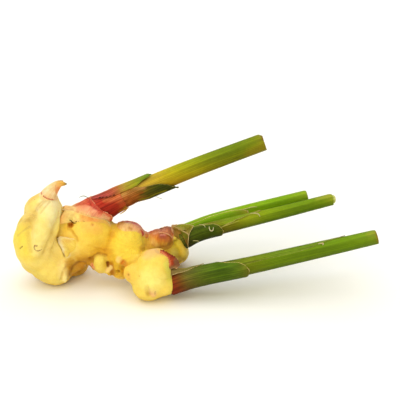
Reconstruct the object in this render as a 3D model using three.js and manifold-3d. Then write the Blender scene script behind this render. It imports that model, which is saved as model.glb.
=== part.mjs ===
// A fresh ginger rhizome with four cut stems, lying on a surface. The rhizome is one knobbly
// body. Each stem is a solid culm inside thin leaf sheaths, and thin scale leaves are left on
// the knobs. Millimetres, +Z up, +X towards the cut ends of the stems, -Y the front.
import * as THREE from 'three';
import { mergeVertices } from 'three/addons/utils/BufferGeometryUtils.js';
import Module from 'manifold-3d';

const wasm = await Module();
wasm.setup();

// ---- driving dimensions ---------------------------------------------------------------

const AIR = 0.3; // left between two pieces that touch
const SHEATH_WALL = 0.5;
const SCALE_WALL = 0.7;
const STEM_SIDES = 14;
const STEM_STEP = 9; // length of one straight stretch of a stem
const CUTTER = 400; // side of the blocks that trim other pieces
const FLOOR = 0; // height at which the undersides are flattened by lying on the surface

// Lobes of the rhizome: centre, half sizes along X, Y and Z, and lean about Y in degrees.
const LEFT_KNOB = [
  { at: [-107, 20, 28], half: [14.5, 15, 20.5], lean: 0 },
  { at: [-96, 18, 12.5], half: [14, 13, 13.5], lean: 20 },
  { at: [-101, 11, 42], half: [8, 9, 15.5], lean: 8 },
  { at: [-110.5, 20, 41], half: [8, 9, 9], lean: 0 },
  { at: [-100.5, 20, 52.5], half: [13, 12, 12], lean: 0 },
  { at: [-97, 19.5, 62], half: [6, 6, 5], lean: 0 },
];
const SECOND_KNOB = [
  { at: [-73.5, 26, 32.5], half: [18.5, 17, 17.5], lean: 0 },
  { at: [-69.5, 29, 47.3], half: [13, 11, 8.5], lean: -16 },
  { at: [-82, 27, 12], half: [9, 12, 13], lean: 0 },
  { at: [-88, 22, 27], half: [8, 10, 12], lean: 0 },
  { at: [-65.2, 15, 15], half: [4.6, 4.8, 6.6], lean: 0 },
  { at: [-69, 14, 14], half: [2.6, 2.4, 2.6], lean: 0 },
];
const THIRD_KNOB = [
  { at: [-48, 20, 26], half: [12.5, 13, 14.5], lean: 0 },
  { at: [-47, 23, 36], half: [10, 9, 6], lean: 0 },
  { at: [-60, 23, 26], half: [9, 9, 11], lean: 0 },
  { at: [-54, 13, 18], half: [6, 6, 6], lean: 0 },
  { at: [-52.2, 7.8, 22], half: [2.8, 2.6, 2.8], lean: 0 },
  { at: [-51.5, 12, 11], half: [5.2, 5, 5], lean: 0 },
  { at: [-59.3, 12, 12.6], half: [2.8, 3, 3.2], lean: 0 },
];
const REAR_KNOB = [
  { at: [-20.5, 38, 15.5], half: [13, 12.5, 12.5], lean: 0 },
  { at: [-34, 30, 22.5], half: [9, 9, 8], lean: 0 },
  { at: [-24, 26.5, 28.5], half: [5.5, 5, 5.5], lean: 0 },
  { at: [-14, 36, 21], half: [7.5, 9, 7], lean: -25 },
  { at: [-27, 37, 8.5], half: [10, 10, 9.5], lean: 0 },
  { at: [-15, 38, 10.5], half: [8, 9, 8.5], lean: 0 },
];
const FRONT_KNOB = [
  { at: [-30, 0, 16], half: [12.5, 12, 15], lean: 0 },
  { at: [-29, 4, 24], half: [11, 10, 9], lean: 0 },
  { at: [-43, 0, 18], half: [6.8, 6.6, 7], lean: 0 },
  { at: [-33, -1, 8.5], half: [11, 10, 9.7], lean: 0 },
  { at: [-23.5, 0, 11], half: [7.5, 8, 8.5], lean: 0 },
  { at: [-40, 11, 21], half: [8, 10, 9], lean: 0 },
];
const LOBES = [...LEFT_KNOB, ...SECOND_KNOB, ...THIRD_KNOB, ...REAR_KNOB, ...FRONT_KNOB];

// Each stem: the points that its axis runs through, the culm's radius at its foot and at its
// cut end, how much wider everything is where it joins the knob, and that knob's lobes.
const UPPER_STEM = {
  axis: [[-68, 30, 46], [-45, 33, 57.5], [-17.5, 37, 68.6], [1, 40, 75.3], [41.5, 46, 89.7]],
  foot: 6.4,
  end: 5.6,
  flare: 2.4,
  knob: SECOND_KNOB.slice(0, 2),
};
const REAR_STEM = {
  axis: [[-14, 42, 22.2], [3.7, 44.5, 29.9], [27, 46.5, 36.5], [71.4, 51.5, 46.2]],
  foot: 4,
  end: 3.9,
  flare: 0.5,
  knob: REAR_KNOB,
};
const MIDDLE_STEM = {
  axis: [[-14, 30, 22.5], [-1, 31.5, 29], [14.5, 33.5, 32.7], [53, 39, 40.8], [87.6, 43, 48.8]],
  foot: 4.8,
  end: 3.8,
  flare: 0.5,
  knob: REAR_KNOB,
};
const FRONT_STEM = {
  axis: [[-23, -0.5, 8], [-5, 1, 14], [29, 4, 20.7], [78, 9, 30.6], [114, 12.5, 38.1]],
  foot: 5.9,
  end: 4.8,
  flare: 0.5,
  knob: FRONT_KNOB,
};
const FLARE_FADES = 14; // distance over which a stem's flare dies away
const FOOT = 3; // distance along its axis at which each stem begins

// Leaf sheaths: `layer` 0 lies on the culm and 1 over layer 0. The slanting mouth crosses the
// axis at `to`, and runs `lift` further along the stem for each unit up and `turn` further for
// each unit to the far side.
const SHEATHS = {
  upper_stem_inner_sheath: { stem: UPPER_STEM, layer: 0, to: 44.5, lift: -1.65, turn: -0.95 },
  upper_stem_base_sheath: { stem: UPPER_STEM, layer: 1, to: 19, lift: -0.35, turn: -0.2 },
  upper_stem_outer_sheath: { stem: UPPER_STEM, layer: 2, to: 18, lift: 2.67, turn: 1.53 },
  rear_stem_sheath: { stem: REAR_STEM, layer: 0, to: 28, lift: -3.5, turn: -2 },
  middle_stem_inner_sheath: { stem: MIDDLE_STEM, layer: 0, to: 28, lift: 4.9, turn: 2.85 },
  middle_stem_outer_sheath: { stem: MIDDLE_STEM, layer: 1, to: 18, lift: 0.4, turn: -2.3 },
  front_stem_inner_sheath: { stem: FRONT_STEM, layer: 0, to: 68, lift: 8.7, turn: 5 },
  front_stem_outer_sheath: { stem: FRONT_STEM, layer: 1, to: 45.5, lift: -0.13, turn: -1.8 },
  front_stem_base_scale: { stem: FRONT_STEM, layer: 2, to: -10, lift: 3.65, turn: 2.1 },
};

// The hooked bud on the left knob, built like a short stem.
const LEFT_BUD = {
  axis: [[-97.5, 19.5, 59], [-97, 19.5, 65], [-94, 19.5, 70], [-90.5, 19.5, 72.5], [-86.5, 19.5, 73.5]],
  foot: 7,
  end: 1.1,
  flare: 0,
};
const BUD_HOLLOW = 0.6; // share of the left bud's scale that is hollow

// The ring scale lies between two parallel planes that cross the second knob.
const RING_LEAN = [0.25, 0.62, 0.75];
const RING_FOOT = [-69, 16.4, 47];
const RING_TOP = [-71, 24, 50.2];

const TORN_SCALE_AT = [-92.5, 9, 39];
const TORN_SCALE_LEAN = 70; // degrees from lying flat

const COLOURS = {
  rhizome: '#e8cf63',
  upper_stem: '#a2a52c',
  upper_stem_inner_sheath: '#6f7420',
  upper_stem_base_sheath: '#b0473c',
  upper_stem_outer_sheath: '#9a9a2c',
  upper_stem_collar_scale: '#d0605c',
  rear_stem: '#84b828',
  rear_stem_sheath: '#7aa82a',
  middle_stem: '#7a9a20',
  middle_stem_inner_sheath: '#8a8c30',
  middle_stem_outer_sheath: '#4c5c1c',
  front_stem: '#6f9a1c',
  front_stem_inner_sheath: '#5c7c1c',
  front_stem_outer_sheath: '#56661c',
  front_stem_base_scale: '#8a7c4c',
  left_bud_scale: '#f0dcae',
  ring_scale: '#eda45c',
  third_knob_scale: '#c8705c',
  rear_knob_scale: '#b8543c',
  rear_knob_membrane: '#8a8048',
  front_knob_scale: '#b8402c',
  torn_scale: '#f0dcae',
};

const LEFT = [-1, 0, 0];
const RIGHT = [1, 0, 0];
const BACK = [0, 1, 0];
const DOWN = [0, 0, -1];

// ---- solids -----------------------------------------------------------------------------

function solidOf(geometry) {
  const bare = geometry.clone();
  bare.deleteAttribute('normal');
  bare.deleteAttribute('uv');
  const merged = mergeVertices(bare);
  const mesh = new wasm.Mesh({
    numProp: 3,
    vertProperties: merged.attributes.position.array,
    triVerts: new Uint32Array(merged.index.array),
  });
  return new wasm.Manifold(mesh);
}

function joined(solids) {
  return solids.reduce((whole, solid) => whole.add(solid));
}

// A cut through a thin wall can leave loose slivers, so only the largest body is kept.
function largestBody(solid) {
  const bodies = solid.decompose();
  return bodies.reduce((most, body) => (body.volume() > most.volume() ? body : most));
}

function meshOf(name, solid, material) {
  const { vertProperties, triVerts } = solid.getMesh();
  const geometry = new THREE.BufferGeometry();
  geometry.setAttribute('position', new THREE.BufferAttribute(new Float32Array(vertProperties), 3));
  geometry.setIndex(new THREE.BufferAttribute(new Uint32Array(triVerts), 1));
  geometry.computeVertexNormals();
  const mesh = new THREE.Mesh(geometry, material);
  mesh.name = name;
  return mesh;
}

// One lobe: an ellipsoid with shallow uneven swellings, `grown` by a distance all round.
function lobeSolid({ at, half, lean }, grown = 0) {
  const smallest = Math.min(...half);
  const sides = smallest > 8 ? 16 : 10;
  const geometry = new THREE.SphereGeometry(1, sides, Math.round(sides * 0.6));
  const swelling = Math.min(0.035, 0.3 / smallest);
  const point = new THREE.Vector3();
  const { position } = geometry.attributes;
  for (let i = 0; i < position.count; i += 1) {
    point.fromBufferAttribute(position, i);
    const wave = Math.sin(5 * point.x + at[0]) * Math.sin(4 * point.y + at[2]) * Math.cos(5 * point.z);
    point.multiplyScalar(1 + swelling * wave);
    position.setXYZ(i, point.x, point.y, point.z);
  }
  geometry.scale(half[0] + grown, half[1] + grown, half[2] + grown);
  geometry.rotateY(THREE.MathUtils.degToRad(lean));
  geometry.translate(...at);
  return solidOf(geometry);
}

// A block with one face at `at`, reaching away from it along `towards`.
function block(at, towards) {
  const direction = new THREE.Vector3(...towards).normalize();
  const geometry = new THREE.BoxGeometry(CUTTER, CUTTER, CUTTER);
  geometry.translate(0, 0, CUTTER / 2);
  geometry.applyQuaternion(
    new THREE.Quaternion().setFromUnitVectors(new THREE.Vector3(0, 0, 1), direction),
  );
  geometry.translate(...at);
  return solidOf(geometry);
}

const RHIZOME = joined(LOBES.map((lobe) => lobeSolid(lobe))).subtract(block([0, 0, FLOOR], DOWN));
const NEAR_RHIZOME = joined(LOBES.map((lobe) => lobeSolid(lobe, AIR)));

// ---- stems and leaf sheaths ---------------------------------------------------------------

const curveOf = (stem) => new THREE.CatmullRomCurve3(stem.axis.map((p) => new THREE.Vector3(...p)));

// The place on a stem's axis at a distance from its foot, with the directions `along` it, `up`
// away from the floor and `side` to its far side. Past either end the axis runs on straight.
function frameAt(stem, distance) {
  const curve = curveOf(stem);
  const length = curve.getLength();
  const inside = THREE.MathUtils.clamp(distance, 0, length);
  const along = curve.getTangentAt(inside / length);
  const side = new THREE.Vector3(0, 0, 1).cross(along).normalize();
  const up = along.clone().cross(side);
  const centre = curve.getPointAt(inside / length).addScaledVector(along, distance - inside);
  return { centre, along, up, side };
}

function radiusAt(stem, distance) {
  const share = distance / curveOf(stem).getLength();
  const flare = stem.flare * Math.max(0, 1 - distance / FLARE_FADES);
  return THREE.MathUtils.lerp(stem.foot, stem.end, share) + flare;
}

// A round rod along a stem's axis between two distances from its foot, `over` the culm's radius.
function rod(stem, from, to, over = 0) {
  const steps = Math.max(2, Math.round((to - from) / STEM_STEP));
  const geometry = new THREE.CylinderGeometry(1, 1, 1, STEM_SIDES, steps);
  const { position } = geometry.attributes;
  for (let i = 0; i < position.count; i += 1) {
    const distance = THREE.MathUtils.lerp(from, to, position.getY(i) + 0.5);
    const radius = radiusAt(stem, distance) + over;
    const { centre, up, side } = frameAt(stem, distance);
    const point = centre
      .addScaledVector(up, radius * position.getX(i))
      .addScaledVector(side, radius * position.getZ(i));
    position.setXYZ(i, point.x, point.y, point.z);
  }
  return solidOf(geometry);
}

// The block that takes away what lies beyond a slanting mouth.
function mouth(stem, distance, lift, turn) {
  const { centre, along, up, side } = frameAt(stem, distance);
  const towards = along.clone().addScaledVector(up, -lift).addScaledVector(side, -turn);
  return block(centre.toArray(), towards.toArray());
}

// What a stem and its sheaths must stay out of: the rhizome, and the scales on the stem's knob.
function aroundKnob(stem) {
  const reach = 2 * AIR + SCALE_WALL;
  return joined(stem.knob.map((lobe) => lobeSolid(lobe, reach))).add(NEAR_RHIZOME);
}

function culm(stem) {
  return rod(stem, FOOT, curveOf(stem).getLength()).subtract(aroundKnob(stem));
}

function sheath({ stem, layer, to, lift, turn }) {
  const inside = AIR + layer * (SHEATH_WALL + AIR);
  const reach = to + 7 * (Math.abs(lift) + Math.abs(turn)) + 4;
  const outer = rod(stem, FOOT, reach, inside + SHEATH_WALL);
  const inner = rod(stem, FOOT - 2, reach + 2, inside);
  return outer.subtract(inner).subtract(mouth(stem, to, lift, turn)).subtract(aroundKnob(stem));
}

// ---- scale leaves -------------------------------------------------------------------------

// A thin skin just outside some lobes, kept on the near side of each [point, direction] plane.
function scaleLeaf(lobes, planes) {
  const skin = joined(lobes.map((lobe) => lobeSolid(lobe, AIR + SCALE_WALL)));
  const cuts = planes.map(([at, beyond]) => block(at, beyond));
  return skin.subtract(NEAR_RHIZOME).subtract(joined(cuts));
}

const opposite = (direction) => direction.map((value) => -value);

function ringScale() {
  return scaleLeaf(SECOND_KNOB.slice(0, 2), [
    [RING_FOOT, opposite(RING_LEAN)],
    [RING_TOP, RING_LEAN],
  ]);
}

// The scale that collars the foot of the upper stem, from the ring scale up to the sheaths.
function upperCollar() {
  const rim = RING_TOP.map((value, i) => value + AIR * RING_LEAN[i]);
  const skin = scaleLeaf(SECOND_KNOB.slice(0, 2), [[rim, opposite(RING_LEAN)]]);
  return skin.subtract(mouth(UPPER_STEM, FOOT - AIR, 0, 0));
}

// What is left of a scale on the upper right of the third knob.
function thirdKnobScale() {
  return scaleLeaf(THIRD_KNOB.slice(0, 2), [
    [[-46.5, 0, 0], LEFT],
    [[0, 0, 33.5], DOWN],
    [[0, 31, 0], BACK],
  ]);
}

// The rear knob's top is covered by a scale on the left and a membrane on the right.
function rearKnobScale() {
  return scaleLeaf(REAR_KNOB, [
    [[-36, 0, 0], LEFT],
    [[-18, 0, 0], RIGHT],
    [[0, 0, 23.5], DOWN],
  ]);
}

function rearKnobMembrane() {
  return scaleLeaf(REAR_KNOB, [
    [[-18 + AIR, 0, 0], LEFT],
    [[0, 0, 20], DOWN],
  ]);
}

// A strip over the shoulder of the front knob, next to the foot of its stem.
function frontKnobScale() {
  return scaleLeaf(FRONT_KNOB.slice(0, 2), [
    [[-25.4, 0, 31], [-0.82, 0, -0.57]],
    [[0, 0, 20], DOWN],
  ]);
}

// A limp flap torn from the skin, standing in the slit between the first two knobs.
function tornScale() {
  const outline = new THREE.Shape();
  outline.moveTo(0, 0);
  outline.quadraticCurveTo(6, 1, 11, -1);
  outline.quadraticCurveTo(7.5, -4, 5.5, -11);
  outline.quadraticCurveTo(2, -6, 0, 0);
  const geometry = new THREE.ExtrudeGeometry(outline, {
    depth: SCALE_WALL,
    bevelEnabled: false,
    curveSegments: 4,
  });
  geometry.rotateX(THREE.MathUtils.degToRad(TORN_SCALE_LEAN));
  geometry.translate(...TORN_SCALE_AT);
  return solidOf(geometry).subtract(NEAR_RHIZOME);
}

// A hollow cone wrapped round the bud, open where it stands on the knob.
function leftBudScale() {
  const length = curveOf(LEFT_BUD).getLength();
  const hollow = rod(LEFT_BUD, -2, length * BUD_HOLLOW, -SCALE_WALL);
  return rod(LEFT_BUD, 0, length).subtract(hollow).subtract(NEAR_RHIZOME);
}

// ---- export -----------------------------------------------------------------------------

const solids = {
  rhizome: RHIZOME,
  upper_stem: culm(UPPER_STEM),
  rear_stem: culm(REAR_STEM),
  middle_stem: culm(MIDDLE_STEM),
  front_stem: culm(FRONT_STEM),
  upper_stem_collar_scale: upperCollar(),
  ring_scale: ringScale(),
  third_knob_scale: thirdKnobScale(),
  rear_knob_scale: rearKnobScale(),
  rear_knob_membrane: rearKnobMembrane(),
  front_knob_scale: frontKnobScale(),
  torn_scale: tornScale(),
  left_bud_scale: leftBudScale(),
};
for (const [name, leaf] of Object.entries(SHEATHS)) {
  solids[name] = sheath(leaf);
}

const ginger = new THREE.Group();
for (const [name, solid] of Object.entries(solids)) {
  const material = new THREE.MeshStandardMaterial({ color: COLOURS[name], roughness: 0.55 });
  ginger.add(meshOf(name, largestBody(solid), material));
}

// The origin goes to the middle of the space that the part takes up, on the floor.
const middle = new THREE.Box3().setFromObject(ginger).getCenter(new THREE.Vector3());
ginger.position.set(-middle.x, -middle.y, -FLOOR);

export default ginger;
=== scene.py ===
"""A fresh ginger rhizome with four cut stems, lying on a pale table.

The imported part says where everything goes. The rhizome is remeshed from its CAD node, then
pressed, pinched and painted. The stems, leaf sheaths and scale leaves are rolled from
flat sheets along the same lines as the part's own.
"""

import contextlib
import math

import bpy
import numpy as np
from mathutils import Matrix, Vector, noise
from mathutils.bvhtree import BVHTree


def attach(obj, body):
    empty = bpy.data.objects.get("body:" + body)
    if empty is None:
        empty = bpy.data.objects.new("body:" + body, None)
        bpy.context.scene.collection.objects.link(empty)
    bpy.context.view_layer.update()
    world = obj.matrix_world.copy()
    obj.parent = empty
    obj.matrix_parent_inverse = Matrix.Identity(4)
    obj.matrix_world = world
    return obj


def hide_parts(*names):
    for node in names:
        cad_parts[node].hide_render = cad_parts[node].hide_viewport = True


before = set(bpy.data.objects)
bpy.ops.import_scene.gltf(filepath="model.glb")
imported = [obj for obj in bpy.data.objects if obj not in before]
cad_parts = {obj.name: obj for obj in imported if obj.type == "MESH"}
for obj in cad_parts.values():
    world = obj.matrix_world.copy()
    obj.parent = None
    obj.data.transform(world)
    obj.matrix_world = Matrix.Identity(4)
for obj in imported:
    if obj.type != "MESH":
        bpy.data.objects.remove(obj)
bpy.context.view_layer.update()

# ---- measures ------------------------------------------------------------------------------

MM = 0.001
# Places are in millimetres, in the layout that the part was drawn in. The frame has the middle
# of the whole part over its origin, so the layout is moved by this much.
FROM_LAYOUT = np.array((3.2616, -21.7673, 0.0))

FILLET = 2.4  # radius of the soft fillets between knobs
CLAY_PITCH = 0.54  # spacing of the rhizome's surface points
STEM_COLUMNS = 96  # points round a stem
STEM_PITCH = 1.2  # spacing of points along a stem
CUT_BEVEL = 0.35  # how far before its end a stem's side stops
WEAR_LENGTH = 2.5  # length of the worn stretch at a cut end
FLARE_FADES = 14.0  # distance over which a stem's flare at its knob dies away
SHEATH_COLUMNS = 72  # points across a rolled leaf
SHEATH_PITCH = 0.9
SHEATH_WALL = 0.4
SCALE_WALL = 0.35
DROP_FROM = 12  # height from which a scale leaf is dropped onto its knob
DROP_REACH = 20  # and how far it may fall
SMOOTHINGS = 4  # times that a laid leaf is smoothed

# Each stem: the points that its axis runs through, the culm's radius at its foot and at its cut
# end, and how much wider everything is where it joins the knob.
STEMS = {
    "upper": {
        "axis": [(-68, 30, 46.4), (-45, 33, 58.1), (-17.5, 37, 69.3), (1, 40, 75.9), (41.5, 46, 89.7)],
        "foot": 6.4, "end": 5.6, "flare": 2.4,
    },
    "rear": {
        "axis": [(-14, 42, 23.0), (3.7, 44.5, 30.1), (27, 46.5, 36.5), (71.4, 51.5, 46.2)],
        "foot": 4.0, "end": 3.9, "flare": 0.5,
    },
    "middle": {
        "axis": [(-14, 30, 22.5), (-1, 31.5, 29), (14.5, 33.5, 32.7), (53, 39, 40.5), (87.6, 43, 48.4)],
        "foot": 4.8, "end": 3.8, "flare": 0.5,
    },
    "front": {
        "axis": [(-23, -0.5, 8), (-5, 1, 14), (29, 4, 20.4), (78, 9, 30.3), (114, 12.5, 38.0)],
        "foot": 6.2, "end": 4.85, "flare": 0.5,
    },
    "bud": {
        "axis": [(-97.6, 19.5, 60.6), (-96.2, 19.5, 65.6), (-94.3, 19.5, 68.6), (-91.8, 19.5, 71.4),
                 (-89.2, 19.5, 73.2), (-86.4, 19.5, 73.2)],
        "foot": 7.5, "end": 0.5, "flare": 0.0,
    },
}

# ---- small helpers -------------------------------------------------------------------------


def linear(colour):
    """A colour written as six hex digits, as linear red, green and blue."""
    shades = np.array([int(colour[i : i + 2], 16) / 255 for i in (0, 2, 4)])
    return np.where(shades <= 0.04045, shades / 12.92, ((shades + 0.055) / 1.055) ** 2.4)


def eased(keys, at):
    """Values between keys, each key (place, value, ...), with no overshoot and no sharp turns."""
    keys = np.array(keys, float)
    x, values = keys[:, 0], keys[:, 1:]
    at = np.clip(at, x[0], x[-1])
    slopes = np.diff(values, axis=0) / np.diff(x)[:, None]
    turns = np.zeros_like(values)
    same_way = slopes[1:] * slopes[:-1] > 0
    mean = 2 * slopes[1:] * slopes[:-1] / np.where(same_way, slopes[1:] + slopes[:-1], 1)
    turns[1:-1] = np.where(same_way, mean, 0)
    turns[0], turns[-1] = slopes[0], slopes[-1]
    i = np.clip(np.searchsorted(x, at, side="right") - 1, 0, len(x) - 2)
    gap = (x[i + 1] - x[i])[..., None]
    t = ((at - x[i]) / (x[i + 1] - x[i]))[..., None]
    start, end = values[i], values[i + 1]
    return (
        start * (1 + 2 * t) * (1 - t) ** 2
        + end * t**2 * (3 - 2 * t)
        + turns[i] * gap * t * (1 - t) ** 2
        - turns[i + 1] * gap * t**2 * (1 - t)
    )


def wander(points, scale, seed):
    """Smooth unevenness between -1 and 1 at each point, with lumps about `scale` mm across."""
    shifted = np.asarray(points, float) / scale + seed * 17.3
    return np.array([noise.noise(Vector(p)) for p in shifted])


def hold(piece):
    """Selects one piece and nothing else."""
    bpy.ops.object.select_all(action="DESELECT")
    piece.select_set(True)
    bpy.context.view_layer.objects.active = piece


def read_out(table, field, width=3):
    """One field of a mesh table, as rows of `width` numbers."""
    flat = np.empty(len(table) * width, np.float32)
    table.foreach_get(field, flat)
    return flat.reshape(-1, width).astype(float)


def points_of(piece):
    """A piece's points in the layout, in millimetres."""
    return read_out(piece.data.vertices, "co") / MM - FROM_LAYOUT


def move_points(piece, at):
    piece.data.vertices.foreach_set("co", ((at + FROM_LAYOUT) * MM).astype(np.float32).ravel())
    piece.data.update()


def normals_of(piece):
    return read_out(piece.data.vertex_normals, "vector")


def modify(piece, kind, **settings):
    """Adds a modifier with its settings and applies it."""
    hold(piece)
    modifier = piece.modifiers.new(kind.lower(), kind)
    for setting, value in settings.items():
        setattr(modifier, setting, value)
    bpy.ops.object.modifier_apply(modifier=modifier.name)


@contextlib.contextmanager
def editing(piece, action="SELECT"):
    """Opens a piece in edit mode, with all of it selected or nothing, and closes it again."""
    hold(piece)
    bpy.ops.object.mode_set(mode="EDIT")
    bpy.ops.mesh.select_all(action=action)
    yield
    bpy.ops.object.mode_set(mode="OBJECT")


def tidy_mesh(piece, merge):
    """Merges points closer than `merge` mm and turns all faces outward."""
    with editing(piece):
        bpy.ops.mesh.remove_doubles(threshold=merge * MM)
        bpy.ops.mesh.normals_make_consistent(inside=False)


def thicken(piece, wall, offset):
    """Gives a sheet its wall, in from its surface at an offset of -1 and out at 1."""
    modify(piece, "SOLIDIFY", thickness=wall * MM, offset=offset)
    with editing(piece):
        bpy.ops.mesh.normals_make_consistent(inside=False)


def close_ends(piece):
    """Closes a tube's open ends with a face each and turns all faces outward."""
    with editing(piece, "DESELECT"):
        bpy.ops.mesh.select_non_manifold()
        bpy.ops.mesh.edge_face_add()
        bpy.ops.mesh.select_all(action="SELECT")
        bpy.ops.mesh.normals_make_consistent(inside=False)


# ---- painting ------------------------------------------------------------------------------

MARKS = ("blush", "rust", "ash", "rim")


def closeness(points, path, width):
    """1 on the line through the path's points, falling smoothly to 0 at `width` mm from it."""
    path = [np.array(p, float) for p in path]
    best = ((points - path[0]) ** 2).sum(1)
    for a, b in zip(path[:-1], path[1:]):
        leg = b - a
        share = np.clip(((points - a) @ leg) / (leg @ leg), 0, 1)
        best = np.minimum(best, ((points - a - share[:, None] * leg) ** 2).sum(1))
    return np.clip(1 - best / width**2, 0, 1) ** 2


def settled(points, path, width):
    """A narrow stroke's path, moved onto the surface. A broad one stays where it is drawn."""
    if width > 4.5:
        return path
    return [points[np.argmin(((points - np.array(p)) ** 2).sum(1))] for p in path]


def store(piece, name, values):
    """Keeps a number, or a colour, for each of a piece's points."""
    kind = "FLOAT" if values.ndim == 1 else "FLOAT_COLOR"
    attribute = piece.data.attributes.get(name) or piece.data.attributes.new(name, kind, "POINT")
    if values.ndim == 1:
        attribute.data.foreach_set("value", values.astype(np.float32))
    else:
        opaque = np.hstack([values, np.ones((len(values), 1))])
        attribute.data.foreach_set("color", opaque.astype(np.float32).ravel())


def stored(piece, name):
    attribute = piece.data.attributes[name]
    if attribute.data_type == "FLOAT":
        return read_out(attribute.data, "value", 1)[:, 0]
    return read_out(attribute.data, "color", 4)[:, :3]


def prime(piece, tint):
    """Gives a piece its ground colour, one for all points or one each, and empty marks."""
    count = len(piece.data.vertices)
    store(piece, "tint", np.broadcast_to(tint, (count, 3)).copy())
    for mark in MARKS:
        store(piece, mark, np.zeros(count))


def wash(piece, washes):
    """Lays soft colours over the ground: each (colour, width, strength, path).

    A strength over 1 gives a full middle with a crisper edge.
    """
    points, tint = points_of(piece), stored(piece, "tint")
    for colour, width, strength, path in washes:
        cover = strength * np.sqrt(closeness(points, settled(points, path, width), width))
        cover = np.minimum(cover, 1)[:, None]
        tint = tint * (1 - cover) + linear(colour) * cover
    store(piece, "tint", tint)


def stain(piece, stains):
    """Dabs marks on a piece: each (mark, width, strength, path)."""
    points = points_of(piece)
    for mark, width, strength, path in stains:
        before = stored(piece, mark)
        cover = closeness(points, settled(points, path, width), width)
        store(piece, mark, np.maximum(before, strength * cover))


# ---- finishes ------------------------------------------------------------------------------


class Graph:
    """Nodes of one material or node group, added one at a time and wired as they are added."""

    def __init__(self, tree):
        self.tree = tree

    def add(self, kind, inputs=None, **settings):
        node = self.tree.nodes.new(kind)
        for setting, value in settings.items():
            setattr(node, setting, value)
        for socket, value in (inputs or {}).items():
            self.feed(node.inputs[socket], value)
        return node

    def feed(self, socket, value):
        if isinstance(value, bpy.types.NodeSocket):
            self.tree.links.new(value, socket)
        else:
            socket.default_value = value

    def math(self, operation, a, b):
        return self.add("ShaderNodeMath", {0: a, 1: b}, operation=operation).outputs[0]

    def blend(self, share, under, over, kind="MIX"):
        node = self.add("ShaderNodeMix", data_type="RGBA", blend_type=kind, clamp_factor=True)
        for socket, value in ((node.inputs[0], share), (node.inputs[6], under), (node.inputs[7], over)):
            self.feed(socket, value)
        return node.outputs[2]

    def spread(self, value, low, high, to_low=0.0, to_high=1.0):
        inputs = {0: value, 1: low, 2: high, 3: to_low, 4: to_high}
        return self.add("ShaderNodeMapRange", inputs, interpolation_type="SMOOTHSTEP").outputs[0]


def opaque(colour):
    return (*linear(colour), 1.0)


def new_group(name, inputs, outputs):
    """An empty shader node group, with its Graph and its two ends."""
    group = bpy.data.node_groups.new(name, "ShaderNodeTree")
    for socket, kind in inputs.items():
        group.interface.new_socket(socket, in_out="INPUT", socket_type="NodeSocket" + kind)
    for socket, kind in outputs.items():
        group.interface.new_socket(socket, in_out="OUTPUT", socket_type="NodeSocket" + kind)
    graph = Graph(group)
    return group, graph, graph.add("NodeGroupInput"), graph.add("NodeGroupOutput")


def mottling_group():
    """Soft patches and fine grains, as in the flesh under a thin skin."""
    group, graph, start, end = new_group(
        "mottling", {"Patch size": "Float", "Grain size": "Float"}, {"Patches": "Float", "Grains": "Float"}
    )
    place = graph.add("ShaderNodeTexCoord").outputs["Object"]
    for size, detail, name, low, high in (
        ("Patch size", 3.0, "Patches", 0.36, 0.66),
        ("Grain size", 2.0, "Grains", 0.38, 0.64),
    ):
        scale = graph.math("DIVIDE", 1.0, start.outputs[size])
        inputs = {"Vector": place, "Scale": scale, "Detail": detail, "Roughness": 0.55}
        cloud = graph.add("ShaderNodeTexNoise", inputs).outputs[0]
        graph.feed(end.inputs[name], graph.spread(cloud, low, high))
    return group


def fibres_group():
    """Fine lines that run the length of a leaf or stem."""
    group, graph, start, end = new_group(
        "fibres", {"Lines": "Float", "Ribs": "Float"}, {"Fine": "Float", "Broad": "Float"}
    )
    flat = graph.add("ShaderNodeUVMap").outputs[0]
    for count, length, name in (("Lines", 2.5, "Fine"), ("Ribs", 0.9, "Broad")):
        stretch = graph.add("ShaderNodeCombineXYZ", {0: start.outputs[count], 1: length, 2: 1.0})
        drawn = graph.add("ShaderNodeVectorMath", {0: flat, 1: stretch.outputs[0]}, operation="MULTIPLY")
        inputs = {"Vector": drawn.outputs[0], "Scale": 1.0, "Detail": 2.0, "Roughness": 0.6}
        cloud = graph.add("ShaderNodeTexNoise", inputs).outputs[0]
        graph.feed(end.inputs[name], graph.spread(cloud, 0.35, 0.65))
    return group


def marks_group():
    """The painted marks over a ground colour, with edges broken up by the grain."""
    group, graph, start, end = new_group(
        "marks",
        {"Ground": "Color", "Grain": "Float", "Blush": "Color", "Rust": "Color", "Ash": "Color",
         "Rim": "Color"},
        {"Colour": "Color", "Rust": "Float"},
    )
    colour = start.outputs["Ground"]
    for mark in ("Ash", "Blush", "Rim", "Rust"):
        amount = graph.add("ShaderNodeAttribute", attribute_name=mark.lower()).outputs["Fac"]
        broken = graph.math("MULTIPLY", amount, graph.spread(start.outputs["Grain"], 0.0, 1.0, 0.62, 1.3))
        cover = graph.spread(broken, 0.06, 0.8)
        colour = graph.blend(cover, colour, start.outputs[mark])
    graph.feed(end.inputs["Colour"], colour)
    # Rust goes on last, so this is its own cover.
    graph.feed(end.inputs["Rust"], cover)
    return group


MOTTLING, FIBRES, MARKED = mottling_group(), fibres_group(), marks_group()
PATCH_SIZE = 4.0
GRAIN_SIZE = 0.7
DRY_SKIN = "cdaa5c"
FLESH_DEPTH = 2.5  # how deep light soaks in, most in red and least in blue
FLESH_TINT = (1.0, 0.72, 0.25)


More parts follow.
